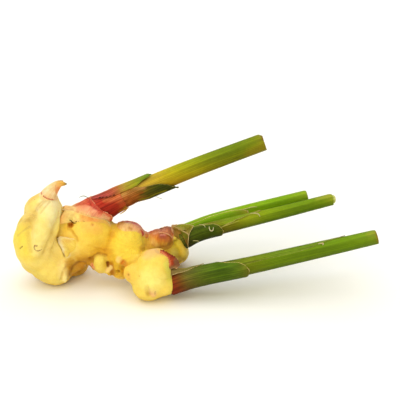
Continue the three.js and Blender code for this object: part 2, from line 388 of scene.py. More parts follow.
def finish(
    name,
    deeper,
    flesh,
    lines=70.0,
    ribs=14.0,
    mottled=0.3,
    grained=0.2,
    lined=0.0,
    ribbed=0.0,
    paler="fff2b8",
    blush="c8404a",
    rust="8a4a10",
    rim="d8c47c",
    roughness=0.45,
    relief=0.12,
    gloss=0.25,
):
    """A plant surface: painted ground colour, mottling, fibres, marks, and a soft waxy gloss."""
    material = bpy.data.materials.new(name)
    material.use_nodes = True
    graph = Graph(material.node_tree)
    shader = material.node_tree.nodes["Principled BSDF"]
    ground = graph.add("ShaderNodeAttribute", attribute_name="tint").outputs["Color"]
    mottle = graph.add("ShaderNodeGroup", node_tree=MOTTLING)
    mottle.inputs["Patch size"].default_value = PATCH_SIZE * MM
    mottle.inputs["Grain size"].default_value = GRAIN_SIZE * MM
    patches, grains = mottle.outputs["Patches"], mottle.outputs["Grains"]
    colour = graph.blend(graph.math("MULTIPLY", patches, mottled), ground, opaque(deeper), "MULTIPLY")
    colour = graph.blend(graph.math("MULTIPLY", grains, grained), colour, opaque(paler), "SOFT_LIGHT")
    height = graph.math("ADD", graph.math("MULTIPLY", patches, 0.4), graph.math("MULTIPLY", grains, 0.6))
    if lined or ribbed:
        fibre = graph.add("ShaderNodeGroup", node_tree=FIBRES)
        fibre.inputs["Lines"].default_value = lines
        fibre.inputs["Ribs"].default_value = ribs
        fine, broad = fibre.outputs["Fine"], fibre.outputs["Broad"]
        colour = graph.blend(graph.math("MULTIPLY", fine, lined), colour, opaque(deeper), "MULTIPLY")
        colour = graph.blend(graph.math("MULTIPLY", broad, ribbed), colour, opaque(paler), "SOFT_LIGHT")
        height = graph.math("ADD", graph.math("MULTIPLY", height, 0.3), fine)
    marked = graph.add("ShaderNodeGroup", {"Ground": colour, "Grain": grains}, node_tree=MARKED)
    for mark, shade in (("Blush", blush), ("Rust", rust), ("Ash", DRY_SKIN), ("Rim", rim)):
        marked.inputs[mark].default_value = opaque(shade)
    bump = graph.add("ShaderNodeBump", {"Strength": 0.6, "Distance": relief * MM, "Height": height})
    graph.feed(shader.inputs["Base Color"], marked.outputs["Colour"])
    graph.feed(shader.inputs["Normal"], bump.outputs[0])
    dry = graph.math("MULTIPLY", marked.outputs["Rust"], 0.3)
    uneven = graph.math("MULTIPLY", patches, 0.14)
    graph.feed(shader.inputs["Roughness"], graph.math("ADD", graph.math("ADD", dry, uneven), roughness))
    for socket, value in (
        ("Subsurface Weight", flesh),
        ("Subsurface Radius", FLESH_TINT),
        ("Subsurface Scale", FLESH_DEPTH * MM),
        ("Specular IOR Level", gloss),
    ):
        shader.inputs[socket].default_value = value
    return material


SKIN = finish("ginger_skin", mottled=0.22, grained=0.3, deeper="ecd070", relief=0.15, flesh=0.2)
GREEN_CULM = finish(
    "green_culm", mottled=0.06, lined=0.4, ribbed=0.4, deeper="74842a", paler="e4f07c", roughness=0.5,
    flesh=0.05, gloss=0.1,
)
REAR_CULM = finish(
    "bright_culm", mottled=0.06, lined=0.35, ribbed=0.4, deeper="8aa232", paler="f0fa80", roughness=0.46,
    flesh=0.05, gloss=0.12,
)
UPPER_CULM = finish(
    "olive_culm", mottled=0.08, lined=0.5, ribbed=0.4, deeper="94882c", paler="f2ea80", roughness=0.5,
    flesh=0.05, gloss=0.1,
)
GREEN_SHEATH = finish(
    "green_sheath", mottled=0.12, lined=0.6, ribbed=0.4, deeper="646428", paler="dce680", rim="c0ae62",
    rust="5a3c14", roughness=0.5, flesh=0.05, gloss=0.1,
)
RED_SHEATH = finish(
    "red_sheath", mottled=0.15, lined=0.6, ribbed=0.45, deeper="843426", paler="f8b890", rim="d88a5c",
    rust="5a2010", flesh=0.08, roughness=0.5, gloss=0.1,
)
PINK_SCALE = finish(
    "pink_scale", lines=60.0, ribs=18.0, lined=0.35, ribbed=0.35, deeper="d07c58", paler="ffe2c4",
    rim="f0bc88", roughness=0.45, flesh=0.15, gloss=0.18,
)
RING_SCALE = finish(
    "orange_scale", lines=90.0, ribs=20.0, lined=0.25, ribbed=0.3, deeper="dc9c60", paler="ffe8b8",
    rim="f4cf86", roughness=0.36, flesh=0.2,
)
PALE_SCALE = finish(
    "pale_scale", lines=50.0, ribs=12.0, lined=0.25, ribbed=0.3, deeper="e0bc7c", paler="fff6d8",
    rim="fae4ac", blush="cc6a44", rust="6a4a14", roughness=0.45, flesh=0.2,
)
MEMBRANE = finish(
    "membrane", lines=60.0, ribs=16.0, lined=0.4, ribbed=0.4, deeper="8a7040", paler="f2e6b4", rim="d4b880",
    roughness=0.55, flesh=0.08, gloss=0.12,
)


def present(piece, material, slot, *nodes, smooth=55):
    """Gives a piece its finish, and lets it stand for the CAD nodes it replaces."""
    piece.data.materials.clear()
    piece.data.materials.append(material)
    hold(piece)
    bpy.ops.object.shade_smooth_by_angle(angle=math.radians(smooth))
    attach(piece, "root")
    if nodes:
        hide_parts(*nodes)


# ---- the rhizome ---------------------------------------------------------------------------


def carried_over(node, name):
    """A new piece with a copy of a CAD node's mesh, its loose triangles merged."""
    piece = bpy.data.objects.new(name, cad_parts[node].data.copy())
    bpy.context.scene.collection.objects.link(piece)
    tidy_mesh(piece, merge=0.001)
    return piece


def press(piece, strokes):
    """Works a surface with strokes: each (height, width, path), a negative height pressing in."""
    at, out = points_of(piece), normals_of(piece)
    for height, width, path in strokes:
        at = at + out * (height * closeness(at, settled(at, path, width), width))[:, None]
    move_points(piece, at)


def loop_round(centre, radius):
    """A small ring of eight points facing the front."""
    turns = [2 * math.pi * i / 8 for i in range(9)]
    x, y, z = centre
    return [(x + radius * math.cos(t), y, z + radius * math.sin(t)) for t in turns]


# Lines that are both pressed and painted, or pressed by one piece and met by another.
TONGUE = [(-95.4, 11, 58), (-98.4, 5, 51.5), (-101.9, 2.5, 42), (-104.7, 4, 34)]
TONGUE_LEFT = [(-107, 10.5, 54.5), (-109.6, 12, 49), (-110.4, 12, 43), (-109.8, 8.5, 37), (-108.6, 6, 31.5)]
TONGUE_RIGHT = [(-89, 15, 54.5), (-91.5, 12, 50), (-95, 7.5, 43.5), (-97, 4.5, 38.5), (-99.2, 4.5, 33),
                (-100.5, 6, 29)]
FOLD_RIGHT = [(-89.5, 13.5, 48), (-92, 11, 41), (-94.5, 8.5, 33)]
SLIT = [(-92.6, 17, 34.4), (-91.5, 14.8, 32), (-90.1, 13.1, 29.9), (-88.9, 12.6, 27.3), (-87.9, 12.9, 23.5)]
NECK = [(-86.6, 20, 53), (-87.6, 16.5, 49.5), (-89.2, 16, 45), (-91, 16.5, 40), (-92.6, 17, 35.5)]
RING_SCAR = (-103.6, 3.1, 36.1)
HOLE = (-83.2, 17.8, 43.8)
CRACK = [(-84.5, 18, 41.8), (-82, 15, 40.5), (-79.5, 12, 38.5), (-78.6, 11, 36.5)]
DIMPLE = (-68.9, 15.4, 45.1)
CHIN = [(-85.6, 11, 20), (-82, 14.5, 17.8), (-78, 13, 22), (-71.4, 11, 25)]
PURPLE_EYE = [(-25.0, 23.0, 31.9), (-23.4, 23.0, 31.7)]
LOBE_CREASE = [(-49.6, 7.5, 16), (-48.8, 5.4, 21.5), (-46, 4, 24), (-42, 4, 26), (-39.4, 6, 28.4),
               (-37.6, 11.3, 28.7), (-35.3, 18.3, 25.5)]
FRONT_SCAR = [(-33.8, -11.4, 15.9), (-32.8, -11.6, 12), (-31.6, -11, 8)]

# Fine wrinkles in the skin: the dry patch on the left shoulder and the streaks under the bud.
WRINKLES = [
    [(-117, 16, 41), (-113.5, 16, 46), (-109, 13, 50)],
    [(-117.5, 18, 44), (-113, 18, 49), (-108.5, 13, 52.5)],
    [(-115.5, 20, 49), (-111, 17, 53), (-106, 11, 55)],
    [(-116.5, 14, 38), (-113, 13, 43), (-110, 12, 46)],
    [(-97, 15, 64), (-100, 13, 61.5), (-103, 11.5, 58.5)],
    [(-98.5, 14.5, 64.5), (-102, 13.5, 61), (-105, 12, 57.5)],
    [(-95.5, 14, 63), (-98.5, 11.5, 60), (-101, 10, 57.5)],
    [(-90.3, 9.5, 20.5), (-86, 12, 20), (-82, 15, 19)],
    [(-72, 9, 34), (-66, 9.5, 31), (-61, 12, 28)],
    [(-45, 6, 33), (-40, 9, 31), (-37, 13, 29.5)],
    [(-49, 7, 30), (-43, 6.5, 28), (-38, 9, 26)],
    [(-30, -9, 22), (-25, -8.5, 20), (-21, -6, 18)],
]

# Where each knob's growth rings lie: a point in the knob, the way it grew, its reach from that
# point, and the rings' distances along the way it grew.
GROWTH = [
    ((-103, 19, 30), (-0.15, -0.2, 1.0), 26, (-19, -10, 4, 17, 25)),
    ((-73, 27, 32), (0.25, 0.62, 0.75), 21, (-16, -9, 0)),
    ((-48, 20, 26), (0.5, 0.5, 0.7), 15, (-9, -4, 1, 6)),
    ((-22, 37, 15), (0.7, 0.2, 0.6), 14, (-7, 0, 6)),
    ((-32, 0, 16), (1.0, 0.0, 0.25), 15, (-11, -3, 6)),
]


# Clay added to the copied mesh before it is worked: each (half sizes, path), laid as a row of
# balls that the remesh melts into one skin. The broad ones round off the knobs and fill the
# necks between them. The small ones are the nodules and eyes that stand out crisply.
BROAD_CLAY = [
    ((12.6, 10.0, 6.6), [(-100.6, 20, 55.0)]),
    ((9.0, 9.4, 5.6), [(-98.8, 20, 59.6)]),
    ((6.4, 7.0, 4.4), [(-97.4, 20, 62.8)]),
    ((6.0, 8.0, 9.0), [(-96, 18, 43)]),
    ((8.0, 9.0, 8.6), [(-78.4, 28, 43.3)]),
    ((8.0, 9.0, 12.0), [(-85, 25, 38)]),
    ((9.0, 10.0, 7.5), [(-73, 22, 20)]),
    ((7.0, 8.0, 8.0), [(-62, 22, 17.5)]),
    ((7.4, 7.0, 5.0), [(-27.6, 32, 25.4)]),
    ((4.5, 4.5, 8.0), [(-60.3, 15.8, 29)]),
    ((7.0, 4.5, 4.6), [(-66.5, 15.4, 24.6), (-60.6, 15.0, 23.6)]),
    ((4.5, 5.0, 4.0), [(-21.6, 33.5, 27.9)]),
    ((3.4, 5.5, 6.5), [(-11.3, 28.8, 16.8)]),
    ((7.2, 7.2, 7.2), [(-25, -0.6, 8.6)]),
    ((6.7, 6.7, 6.7), [(-21.4, -0.4, 9.2)]),
    ((7.4, 7.4, 7.4), [(-23.2, -3.2, 11.2)]),
    ((9.0, 9.0, 10.0), [(-36, 0, 15), (-28, 1, 20)]),
    ((4.0, 4.0, 3.0), [(-42.2, 24.5, 35.8), (-38.4, 25, 31.0)]),
]
SMALL_CLAY = [
    ((4.7, 4.8, 6.2), [(-64.7, 12.6, 17.0), (-64.9, 12.6, 19.4)]),
    ((1.5, 1.5, 1.5), [(-68.0, 12.8, 14.6), (-69.2, 12.3, 15.4)]),
    ((1.9, 1.8, 1.9), [(-59.6, 11.2, 13.8), (-58.8, 10.6, 11.4)]),
    ((5.2, 4.8, 4.6), [(-52.4, 11.6, 11.6)]),
    ((2.5, 2.6, 2.3), [(-52.5, 7.9, 22.4)]),
    ((2.6, 2.6, 2.8), [(-54.5, 9.4, 18.4), (-55.4, 10.6, 14.6)]),
    ((1.8, 2.6, 2.4), [(-88.6, 9.6, 18.5)]),
    ((2.2, 2.4, 2.8), [(-86.6, 10.2, 14.2), (-87.2, 9.7, 11.0), (-88.4, 9.2, 7.4)]),
    ((3.2, 3.2, 2.4), [(-24.2, 26.6, 30.6), (-22.8, 26.6, 30.4)]),
]


def add_clay(root, clay):
    """Joins rows of balls to a mesh, to be melted in by the remesh that follows."""
    balls = []
    for half, path in clay:
        path = np.array(path, float)
        for centre in path:
            bpy.ops.object.select_all(action="DESELECT")
            bpy.ops.mesh.primitive_uv_sphere_add(segments=32, ring_count=20, radius=1, location=(0, 0, 0))
            ball = bpy.context.object
            unit = (points_of(ball) + FROM_LAYOUT) * MM
            move_points(ball, unit * np.array(half) + centre)
            balls.append(ball)
    hold(root)
    for ball in balls:
        ball.select_set(True)
    bpy.ops.object.join()


def rhizome():
    root = carried_over("rhizome", "root_body")
    add_clay(root, BROAD_CLAY)
    remesh = {"mode": "VOXEL", "voxel_size": CLAY_PITCH * MM}
    modify(root, "REMESH", **remesh)
    # Swelling the skin and drawing it back leaves a soft fillet in every crease.
    modify(root, "DISPLACE", strength=FILLET * MM, mid_level=0.0)
    modify(root, "REMESH", **remesh)
    modify(root, "SMOOTH", factor=0.5, iterations=12)
    modify(root, "DISPLACE", strength=-FILLET * MM, mid_level=0.0)
    add_clay(root, SMALL_CLAY)
    modify(root, "REMESH", **remesh)
    modify(root, "SMOOTH", factor=0.5, iterations=8)
    points = points_of(root)
    small = np.zeros(len(points))
    for half, path in SMALL_CLAY:
        small = np.maximum(small, closeness(points, path, 2.2 * max(half)))
    broad = root.vertex_groups.new(name="broad")
    for index, share in enumerate(np.clip(1 - 2 * small, 0, 1)):
        if share > 0:
            broad.add([index], float(share), "REPLACE")
    modify(root, "SMOOTH", factor=0.5, iterations=40, vertex_group="broad")
    root.vertex_groups.clear()

    press(root, [
        (1.0, 7.0, TONGUE),
        (1.2, 5.0, [(-104.5, 4, 35), (-104.3, 4.5, 30.5)]),
        (-0.8, 5.0, [(-103.5, 4.5, 23.5), (-99, 4.5, 25)]),
        (-1.2, 5.4, TONGUE_LEFT),
        (-1.0, 5.2, TONGUE_RIGHT),
        (-0.3, 1.4, TONGUE_RIGHT[:4]),
        (0.6, 3.4, FOLD_RIGHT),
        (-1.5, 3.2, NECK),
        (-0.55, 1.4, [(-89.6, 8.2, 14.0), (-90.3, 7.8, 11), (-91.2, 7.4, 7.6)]),
        (1.4, 4.0, [(-115, 14, 45), (-112.5, 15.5, 50), (-108, 12, 53.5)]),
        (-1.0, 4.0, [(-113, 17, 55), (-106, 10, 58)]),
        (0.9, 3.5, CHIN),
        (-1.0, 3.5, [(-84, 15, 13), (-76, 16, 17), (-70, 16, 21)]),
        (-0.7, 2.4, [(-57, 19.5, 36), (-59, 16, 32.5), (-61, 14, 27), (-61, 13, 22)]),
        (1.3, 8.0, [(-119, 17, 40), (-119.5, 18, 35)]),
        (1.5, 7.0, [(-113.5, 17, 12), (-109, 16, 8)]),
        (-0.5, 2.6, [(-37, 20, 33), (-35, 15, 27), (-37, 9, 26)]),
        (-1.5, 3.4, LOBE_CREASE),
        (-0.8, 3.6, [(-41.5, 1, 26), (-38.5, -5, 20), (-40.5, -7, 13)]),
        (0.6, 4.5, [(-33, 2, 33), (-30, 4, 33)]),
        (-0.9, 4.0, [(-26.4, 4.4, 33), (-22.6, 4.4, 31)]),
        (-0.6, 3.0, [(-17.5, 27, 22), (-15.5, 27, 14)]),
        (-1.1, 6.5, [(-47, 27, 42), (-40, 26.5, 40)]),
        (-0.9, 4.5, [(-34.5, 33, 30)]),
        (1.0, 6.0, [(-111, 8, 22), (-102, 6, 15)]),
        (-2.6, 7.0, [(-70, 27, 57.5), (-66.5, 26, 56), (-63, 24, 54), (-60, 24, 50), (-57, 27, 46)]),
    ])
    paint_rhizome(root)
    press(root, [
        (-1.3, 1.2, SLIT),
        (0.7, 2.0, [(p[0] + 2.4, p[1] - 0.8, p[2]) for p in SLIT]),
        (0.4, 1.1, loop_round(RING_SCAR, 1.6)),
        (-0.6, 1.3, [RING_SCAR]),
        (-0.6, 0.9, [(-116.2, 9, 31), (-114.6, 8, 33.1)]),
        (-2.2, 2.4, [HOLE]),
        (0.5, 1.5, loop_round(HOLE, 2.8)),
        (-0.5, 1.5, CRACK),
        (0.4, 2.0, [(p[0] + 2.0, p[1] - 0.3, p[2] + 0.4) for p in CRACK]),
        (-0.9, 2.4, [DIMPLE]),
        (0.3, 1.0, loop_round(DIMPLE, 2.0)),
        (0.5, 1.6, [(-69.0, 11.5, 17.5), (-67.5, 10.5, 21)]),
        (-0.5, 2.2, [(-49.6, 6.2, 22.0)]),
        (-0.6, 1.8, [(-50.0, 6.8, 28.2)]),
        (-1.0, 1.5, [(-53.1, 8.3, 14.7)]),
        (0.5, 1.2, loop_round((-53.1, 8.3, 14.7), 2.3)),
        (-0.9, 1.4, [(-56.6, 9.5, 18), (-57.2, 10, 13)]),
        (-1.0, 1.1, [(-60.0, 12, 19.4), (-59.8, 11, 17.0)]),
        (-0.7, 1.2, [(-71.2, 14, 21), (-69.8, 13, 24.4), (-65.6, 12.4, 26), (-61.5, 13, 24)]),
        (-3.4, 7.5, [(-79, 12, 4.5), (-73, 13, 6)]),
        (-4.2, 8.0, [(-78, 19, 3), (-73, 20, 4), (-70, 21, 6)]),
        (-0.8, 1.1, [(-51.5, 7.4, 9.6)]),
        (-0.5, 1.6, [(x, y, z + 1.6) for x, y, z in PURPLE_EYE]),
        (-0.8, 1.2, [(-39.6, -6.6, 20.3)]),
        (-0.9, 1.8, [(-46.1, -5.3, 20.2)]),
        (-0.9, 2.0, FRONT_SCAR),
        (0.5, 1.6, [(p[0] + 2.4, p[1] + 0.5, p[2]) for p in FRONT_SCAR]),
    ])
    for index, path in enumerate(WRINKLES):
        press(root, [(-0.28 - 0.08 * (index % 3), 0.8, path)])
    grow_rings(root)

    at, out = points_of(root), normals_of(root)
    lumps = 0.5 * wander(at, 13.0, 3) + 0.28 * wander(at, 6.0, 1) + 0.08 * wander(at, 2.0, 2)
    lying = np.clip(at[:, 2] / 2.0, 0, 1)
    at = at + out * (lumps * lying)[:, None]
    at[:, 2] = np.maximum(at[:, 2], 0)
    move_points(root, at)
    return root


def grow_rings(root):
    """Faint steps where each knob paused in its growth, broken here and there."""
    at, out = points_of(root), normals_of(root)
    broken, tan = wander(at, 9.0, 5), stored(root, "ash")
    back = np.clip((at[:, 1] - 20) / 8, 0, 1)
    for centre, way, reach, places in GROWTH:
        way = np.array(way) / np.linalg.norm(way)
        offset = at - np.array(centre)
        here = np.clip(1.6 - np.linalg.norm(offset, axis=1) / reach, 0, 1)
        along = offset @ way + 0.8 * wander(at, 12.0, 7)
        for place in places:
            gap = along - place
            step = np.exp(-((gap - 0.7) ** 2) / 0.7) - 1.3 * np.exp(-(gap**2) / 0.35)
            at = at + out * (0.2 * step * here * np.clip(0.6 + broken, 0, 1))[:, None]
            tan = np.maximum(tan, 0.55 * np.exp(-(gap**2) / 0.5) * here * back * np.clip(0.7 + broken, 0, 1))
    move_points(root, at)
    store(root, "ash", tan)


def paint_rhizome(root):
    at, out = points_of(root), normals_of(root)
    prime(root, linear("f4d056"))
    wash(root, [
        ("f6dc84", 34, 1.0, [(-104, 18, 30), (-100, 18, 52)]),
        ("f5cb40", 24, 1.0, [(-73, 26, 34)]),
        ("f6d640", 19, 1.0, [(-48, 18, 26)]),
        ("f4d044", 17, 1.0, [(-22, 38, 16)]),
        ("f7de70", 18, 1.0, [(-32, 0, 16)]),
        ("f0da4c", 11, 0.8, [(-117, 14, 40), (-113, 9, 30)]),
        ("f2d870", 10, 0.7, [(-108, 8, 20), (-98, 6, 12)]),
        ("e4d05a", 9, 0.6, [(-110, 8, 13), (-98, 2, 8)]),
        ("fbe994", 8, 0.8, TONGUE),
        # Painted highlight: a cream patch on the top of the left knob, where light falls.
        ("fdf2b8", 10, 1.0, [(-95, 14, 60), (-93, 13, 57), (-92, 12, 53)]),
        ("f8c268", 4.5, 0.9, [(-109, 20, 60.5), (-103, 21, 65)]),
        ("fbeabc", 5, 0.8, [(-98, 15, 63), (-94, 16, 62)]),
        ("e49c78", 1.7, 1.2, [(-99.2, 15.4, 69.2), (-97, 14.5, 68.2), (-94.7, 14.7, 66.8),
                              (-91.3, 18.1, 64.9)]),
        ("e6cc98", 3.0, 0.6, [(-97.4, 14.5, 64), (-100, 13, 62), (-103, 11.5, 59.5)]),
        ("c4942e", 3.0, 0.95, [(-33.5, -11.4, 14), (-32.7, -11.4, 10)]),
        ("ece25e", 4.6, 0.9, [(-20.6, -3, 25), (-20.4, -4.4, 18), (-20.4, -5, 9)]),
        ("f2b892", 3.0, 0.7, [(-30.5, -11, 12), (-29.8, -10.5, 8.5)]),
        ("f6dc6c", 6, 0.8, [(-88.5, 15, 48), (-91, 13, 42)]),
        ("f6dc74", 12, 0.8, [(-95, 6, 14), (-88, 9, 12)]),
        ("fadc90", 5, 0.8, [(-88.6, 8.6, 19), (-89.4, 8.6, 12)]),
        # Painted highlight down the peg at the foot of the left knob, and a painted shade line in the crease
        # on its left.
        ("fbe8a0", 2.6, 1.0, [(-86.9, 7.8, 14), (-88.2, 7.2, 8)]),
        ("cca438", 1.0, 0.5, [(-89.6, 8.2, 13.8), (-90.9, 7.5, 8.4)]),
        ("f6cc48", 7, 0.8, [(-88, 17, 42), (-87, 17, 38)]),
        ("fadc7c", 8, 0.7, [(-85, 13, 34), (-84, 13, 28)]),
        ("f8b860", 6, 0.6, [(-72, 15, 45), (-66, 14, 44)]),
        # Painted shade, down to the nodule: knob 2's lower side, the lobe beneath it and the creases between
        # the knobs are washed in deeper ambers and browns.
        ("dca41c", 10, 0.7, [(-72, 14, 24), (-66, 13, 28)]),
        ("ecb424", 6, 0.8, [(-59, 16, 34), (-61, 14, 28)]),
        ("dfa424", 3.2, 0.8, [(-57.4, 20, 37.4), (-58.4, 18.4, 35)]),
        ("c08418", 7, 0.8, [(-76, 15, 17), (-70, 14, 19)]),
        ("dca01c", 6, 0.8, [(-66, 11, 26), (-60.6, 11, 26)]),
        ("c08c1c", 8, 1.1, [(-82, 10, 16), (-78, 10, 16.5), (-74, 11, 19)]),
        ("9c6c10", 6.5, 1.1, [(-82, 9, 11), (-78.5, 8.5, 9), (-74, 10, 12)]),
        ("c48c06", 8.0, 1.15, [(-82, 17, 7), (-77, 19, 6), (-75.4, 18.6, 11)]),
        ("b8820a", 5.0, 0.8, [(-76, 19, 4), (-70, 20, 8)]),
        ("c08414", 4.5, 0.9, [(-79, 16, 14.6), (-75, 16.4, 15)]),
        ("b47c12", 1.8, 1.0, [(-71.6, 13, 20), (-70.4, 12.5, 23), (-66, 12.5, 25.4), (-61.4, 13, 24)]),
        ("f0d460", 6.0, 2.0, [(-64.8, 9.0, 14), (-64.8, 9.0, 20.5)]),
        ("ecc468", 3, 0.6, [(-65.8, 9.4, 14)]),
        ("e8a070", 2.2, 1.3, [(-70.2, 12.2, 16.2), (-69.2, 11.8, 15.4)]),
        # Painted shade: the lower side of the third knob is washed a deeper yellow, and the groove beside the
        # nodule brown.
        ("dcac20", 9, 0.9, [(-53, 10, 12), (-55, 9, 19)]),
        ("b07414", 3.2, 1.1, [(-56.8, 9.8, 18.5), (-57.0, 9.8, 13)]),
        ("f4d084", 2.2, 1.4, [(-60.2, 9.8, 14.0), (-58.9, 9.3, 16.6)]),
        ("f0d080", 1.8, 1.2, [(-56.2, 8.4, 8.6), (-53, 7.2, 7.4), (-49.8, 7.4, 7.6)]),
        ("dc8c30", 2.6, 1.1, [(-49.6, 6.1, 22.4), (-48.2, 5.8, 20.4)]),
        ("c08a24", 2.2, 0.8, [(-49.6, 7.6, 17.5), (-49.6, 8, 13)]),
        ("c4981c", 2.6, 0.7, [(-52.8, 8.7, 14.2)]),
        ("f6ce78", 2.8, 1.3, [(-52.6, 6.4, 24.4)]),
        ("f4c858", 8, 0.8, [(-44, -2, 20)]),
        ("e4a850", 2.4, 0.6, [(-46.6, -5, 20.6), (-46.4, -5.4, 18.6)]),
        # Painted highlight: a pale patch in the middle of the front knob.
        ("fdf08c", 10, 0.9, [(-31, -9, 19)]),
        ("f2be84", 6, 0.8, [(-33, 2, 32), (-28, 4, 32)]),
        ("d0c02c", 7, 0.9, [(-14, 28, 13), (-13, 31, 9)]),
        ("e2d038", 4.6, 0.7, [(-16.4, 28, 24), (-14, 28, 20)]),
        ("b4a01a", 2.2, 0.7, [(-15.2, 27, 19), (-14.4, 27.4, 15), (-13.6, 28, 11.5)]),
        ("f0dc70", 4, 0.8, [(-17, 27, 17), (-15, 27, 12)]),
        ("efb04c", 8, 0.7, [(-32, 24, 25), (-28, 26, 26)]),
        ("dfb23c", 4, 0.8, [(-54.5, 21, 38.5), (-52.5, 20, 40)]),
    ])
    # Painted shade: the grooves and creases are washed a deeper ochre, and further down the underside a
    # browner one.
    # Beside the slit runs a pale edge, and the hole is brown.
    wash(root, [
        ("d4b450", 2.2, 0.45, TONGUE_LEFT),
        ("d4b450", 1.8, 0.45, TONGUE_RIGHT),
        ("c89c38", 1.8, 0.7, NECK),
        ("a88424", 1.2, 0.8, SLIT),
        ("cc9628", 1.5, 0.7, CRACK),
        ("d8a024", 1.5, 0.6, [(-57, 19.5, 36), (-59, 16, 32.5), (-61, 14, 27)]),
        ("9d660b", 1.3, 1.2, [(-59.9, 12, 19.0), (-59.8, 11.5, 17.2)]),
        ("9c680f", 1.9, 0.9, [(-84.2, 14, 13.4), (-79.8, 14.5, 16.4), (-75, 15, 18.6)]),
        ("cc9a2c", 2.0, 0.6, LOBE_CREASE),
        ("fce8b4", 2.6, 0.8, [(p[0] + 2.2, p[1] - 0.6, p[2]) for p in SLIT[1:]]),
        ("c07814", 2.8, 1.6, [HOLE]),
    ])
    wash(root, [("c8ac64", 0.9, 0.45, path) for path in WRINKLES[:7]])
    # Fine strokes run outward over the third knob, like combed hair.
    offset = at - np.array((-44, 14, 33))
    turn, reach = np.arctan2(offset[:, 2], offset[:, 0]), np.linalg.norm(offset, axis=1)
    combed = wander(np.stack([turn * 24, reach * 0.12, turn * 0], 1), 1.0, 9) * np.clip(2.2 - reach / 9, 0, 1)
    tint = stored(root, "tint") * (1 + 0.16 * np.where(at[:, 1] < 24, combed, 0))[:, None]
    # Painted shade: surfaces that face down are washed a browner ochre, more so towards the back.
    under = np.clip(-out[:, 2] * 1.1 + 0.05, 0, 1) * 0.75
    shade_deeper_at_back = np.clip((at[:, 1] - 6) / 20, 0.25, 1)
    cover = (under * shade_deeper_at_back)[:, None]
    store(root, "tint", 0.96 * (tint * (1 - cover) + linear("b0761c") * cover))
    stain(root, [
        ("ash", 6.5, 0.5, [(-115, 17, 45), (-111, 17, 51), (-105.5, 10.5, 55)]),
        ("rust", 0.8, 0.2, SLIT),
        ("rust", 0.9, 0.8, loop_round(RING_SCAR, 1.8)[2:8]),
        ("rust", 0.8, 0.7, [(-116.2, 9, 31), (-114.6, 8, 33.1)]),
        ("rust", 1.5, 0.6, [HOLE]),
        ("rust", 1.4, 0.35, [DIMPLE]),
        ("blush", 2.8, 0.3, [DIMPLE]),
        ("blush", 1.4, 0.4, [(-70.4, 12.4, 16.2), (-69.8, 12, 15.6)]),
        ("rust", 1.2, 0.2, [(-49.8, 6.1, 22.4)]),
        ("rust", 0.9, 0.6, [(-60.2, 12, 19.0), (-60.0, 11.2, 17.4)]),
        ("rust", 1.2, 0.7, [(-52.8, 8.7, 14.2)]),
        ("rust", 0.9, 0.7, [(-54.1, 7.1, 12.1)]),
        ("rust", 0.8, 0.5, [(-50.8, 7.3, 11.2)]),
        ("rust", 0.8, 0.5, [(-39.6, -6.6, 20.3)]),
        ("rust", 1.5, 0.5, [(-46.1, -5.3, 20.2)]),
        ("rust", 0.8, 0.5, [(-28.6, -10.2, 11.5), (-28.8, -10, 9.4)]),
        ("rust", 0.9, 0.6, [(-105.5, 17.5, 62.5)]),
        ("rust", 0.7, 0.6, [(-109, 18.5, 60.5)]),
        ("rust", 0.8, 0.5, [(-43.5, 18, 40), (-46, 17.6, 40.2)]),
    ])
    low = np.clip(1 - at[:, 2] / 3.0, 0, 1) * 0.35
    store(root, "ash", np.maximum(stored(root, "ash"), low))


root_body = rhizome()
present(root_body, SKIN, "rhizome_skin", "rhizome", smooth=180)


def ground_of(*pieces):
    """The pieces' surfaces together, for leaves to be laid on."""
    points, faces = [], []
    for piece in pieces:
        start = len(points)
        points += [v.co.copy() for v in piece.data.vertices]
        faces += [[start + i for i in face.vertices] for face in piece.data.polygons]
    return BVHTree.FromPolygons(points, faces)


bare_root = ground_of(root_body)


# ---- rolled leaves and stems ---------------------------------------------------------------


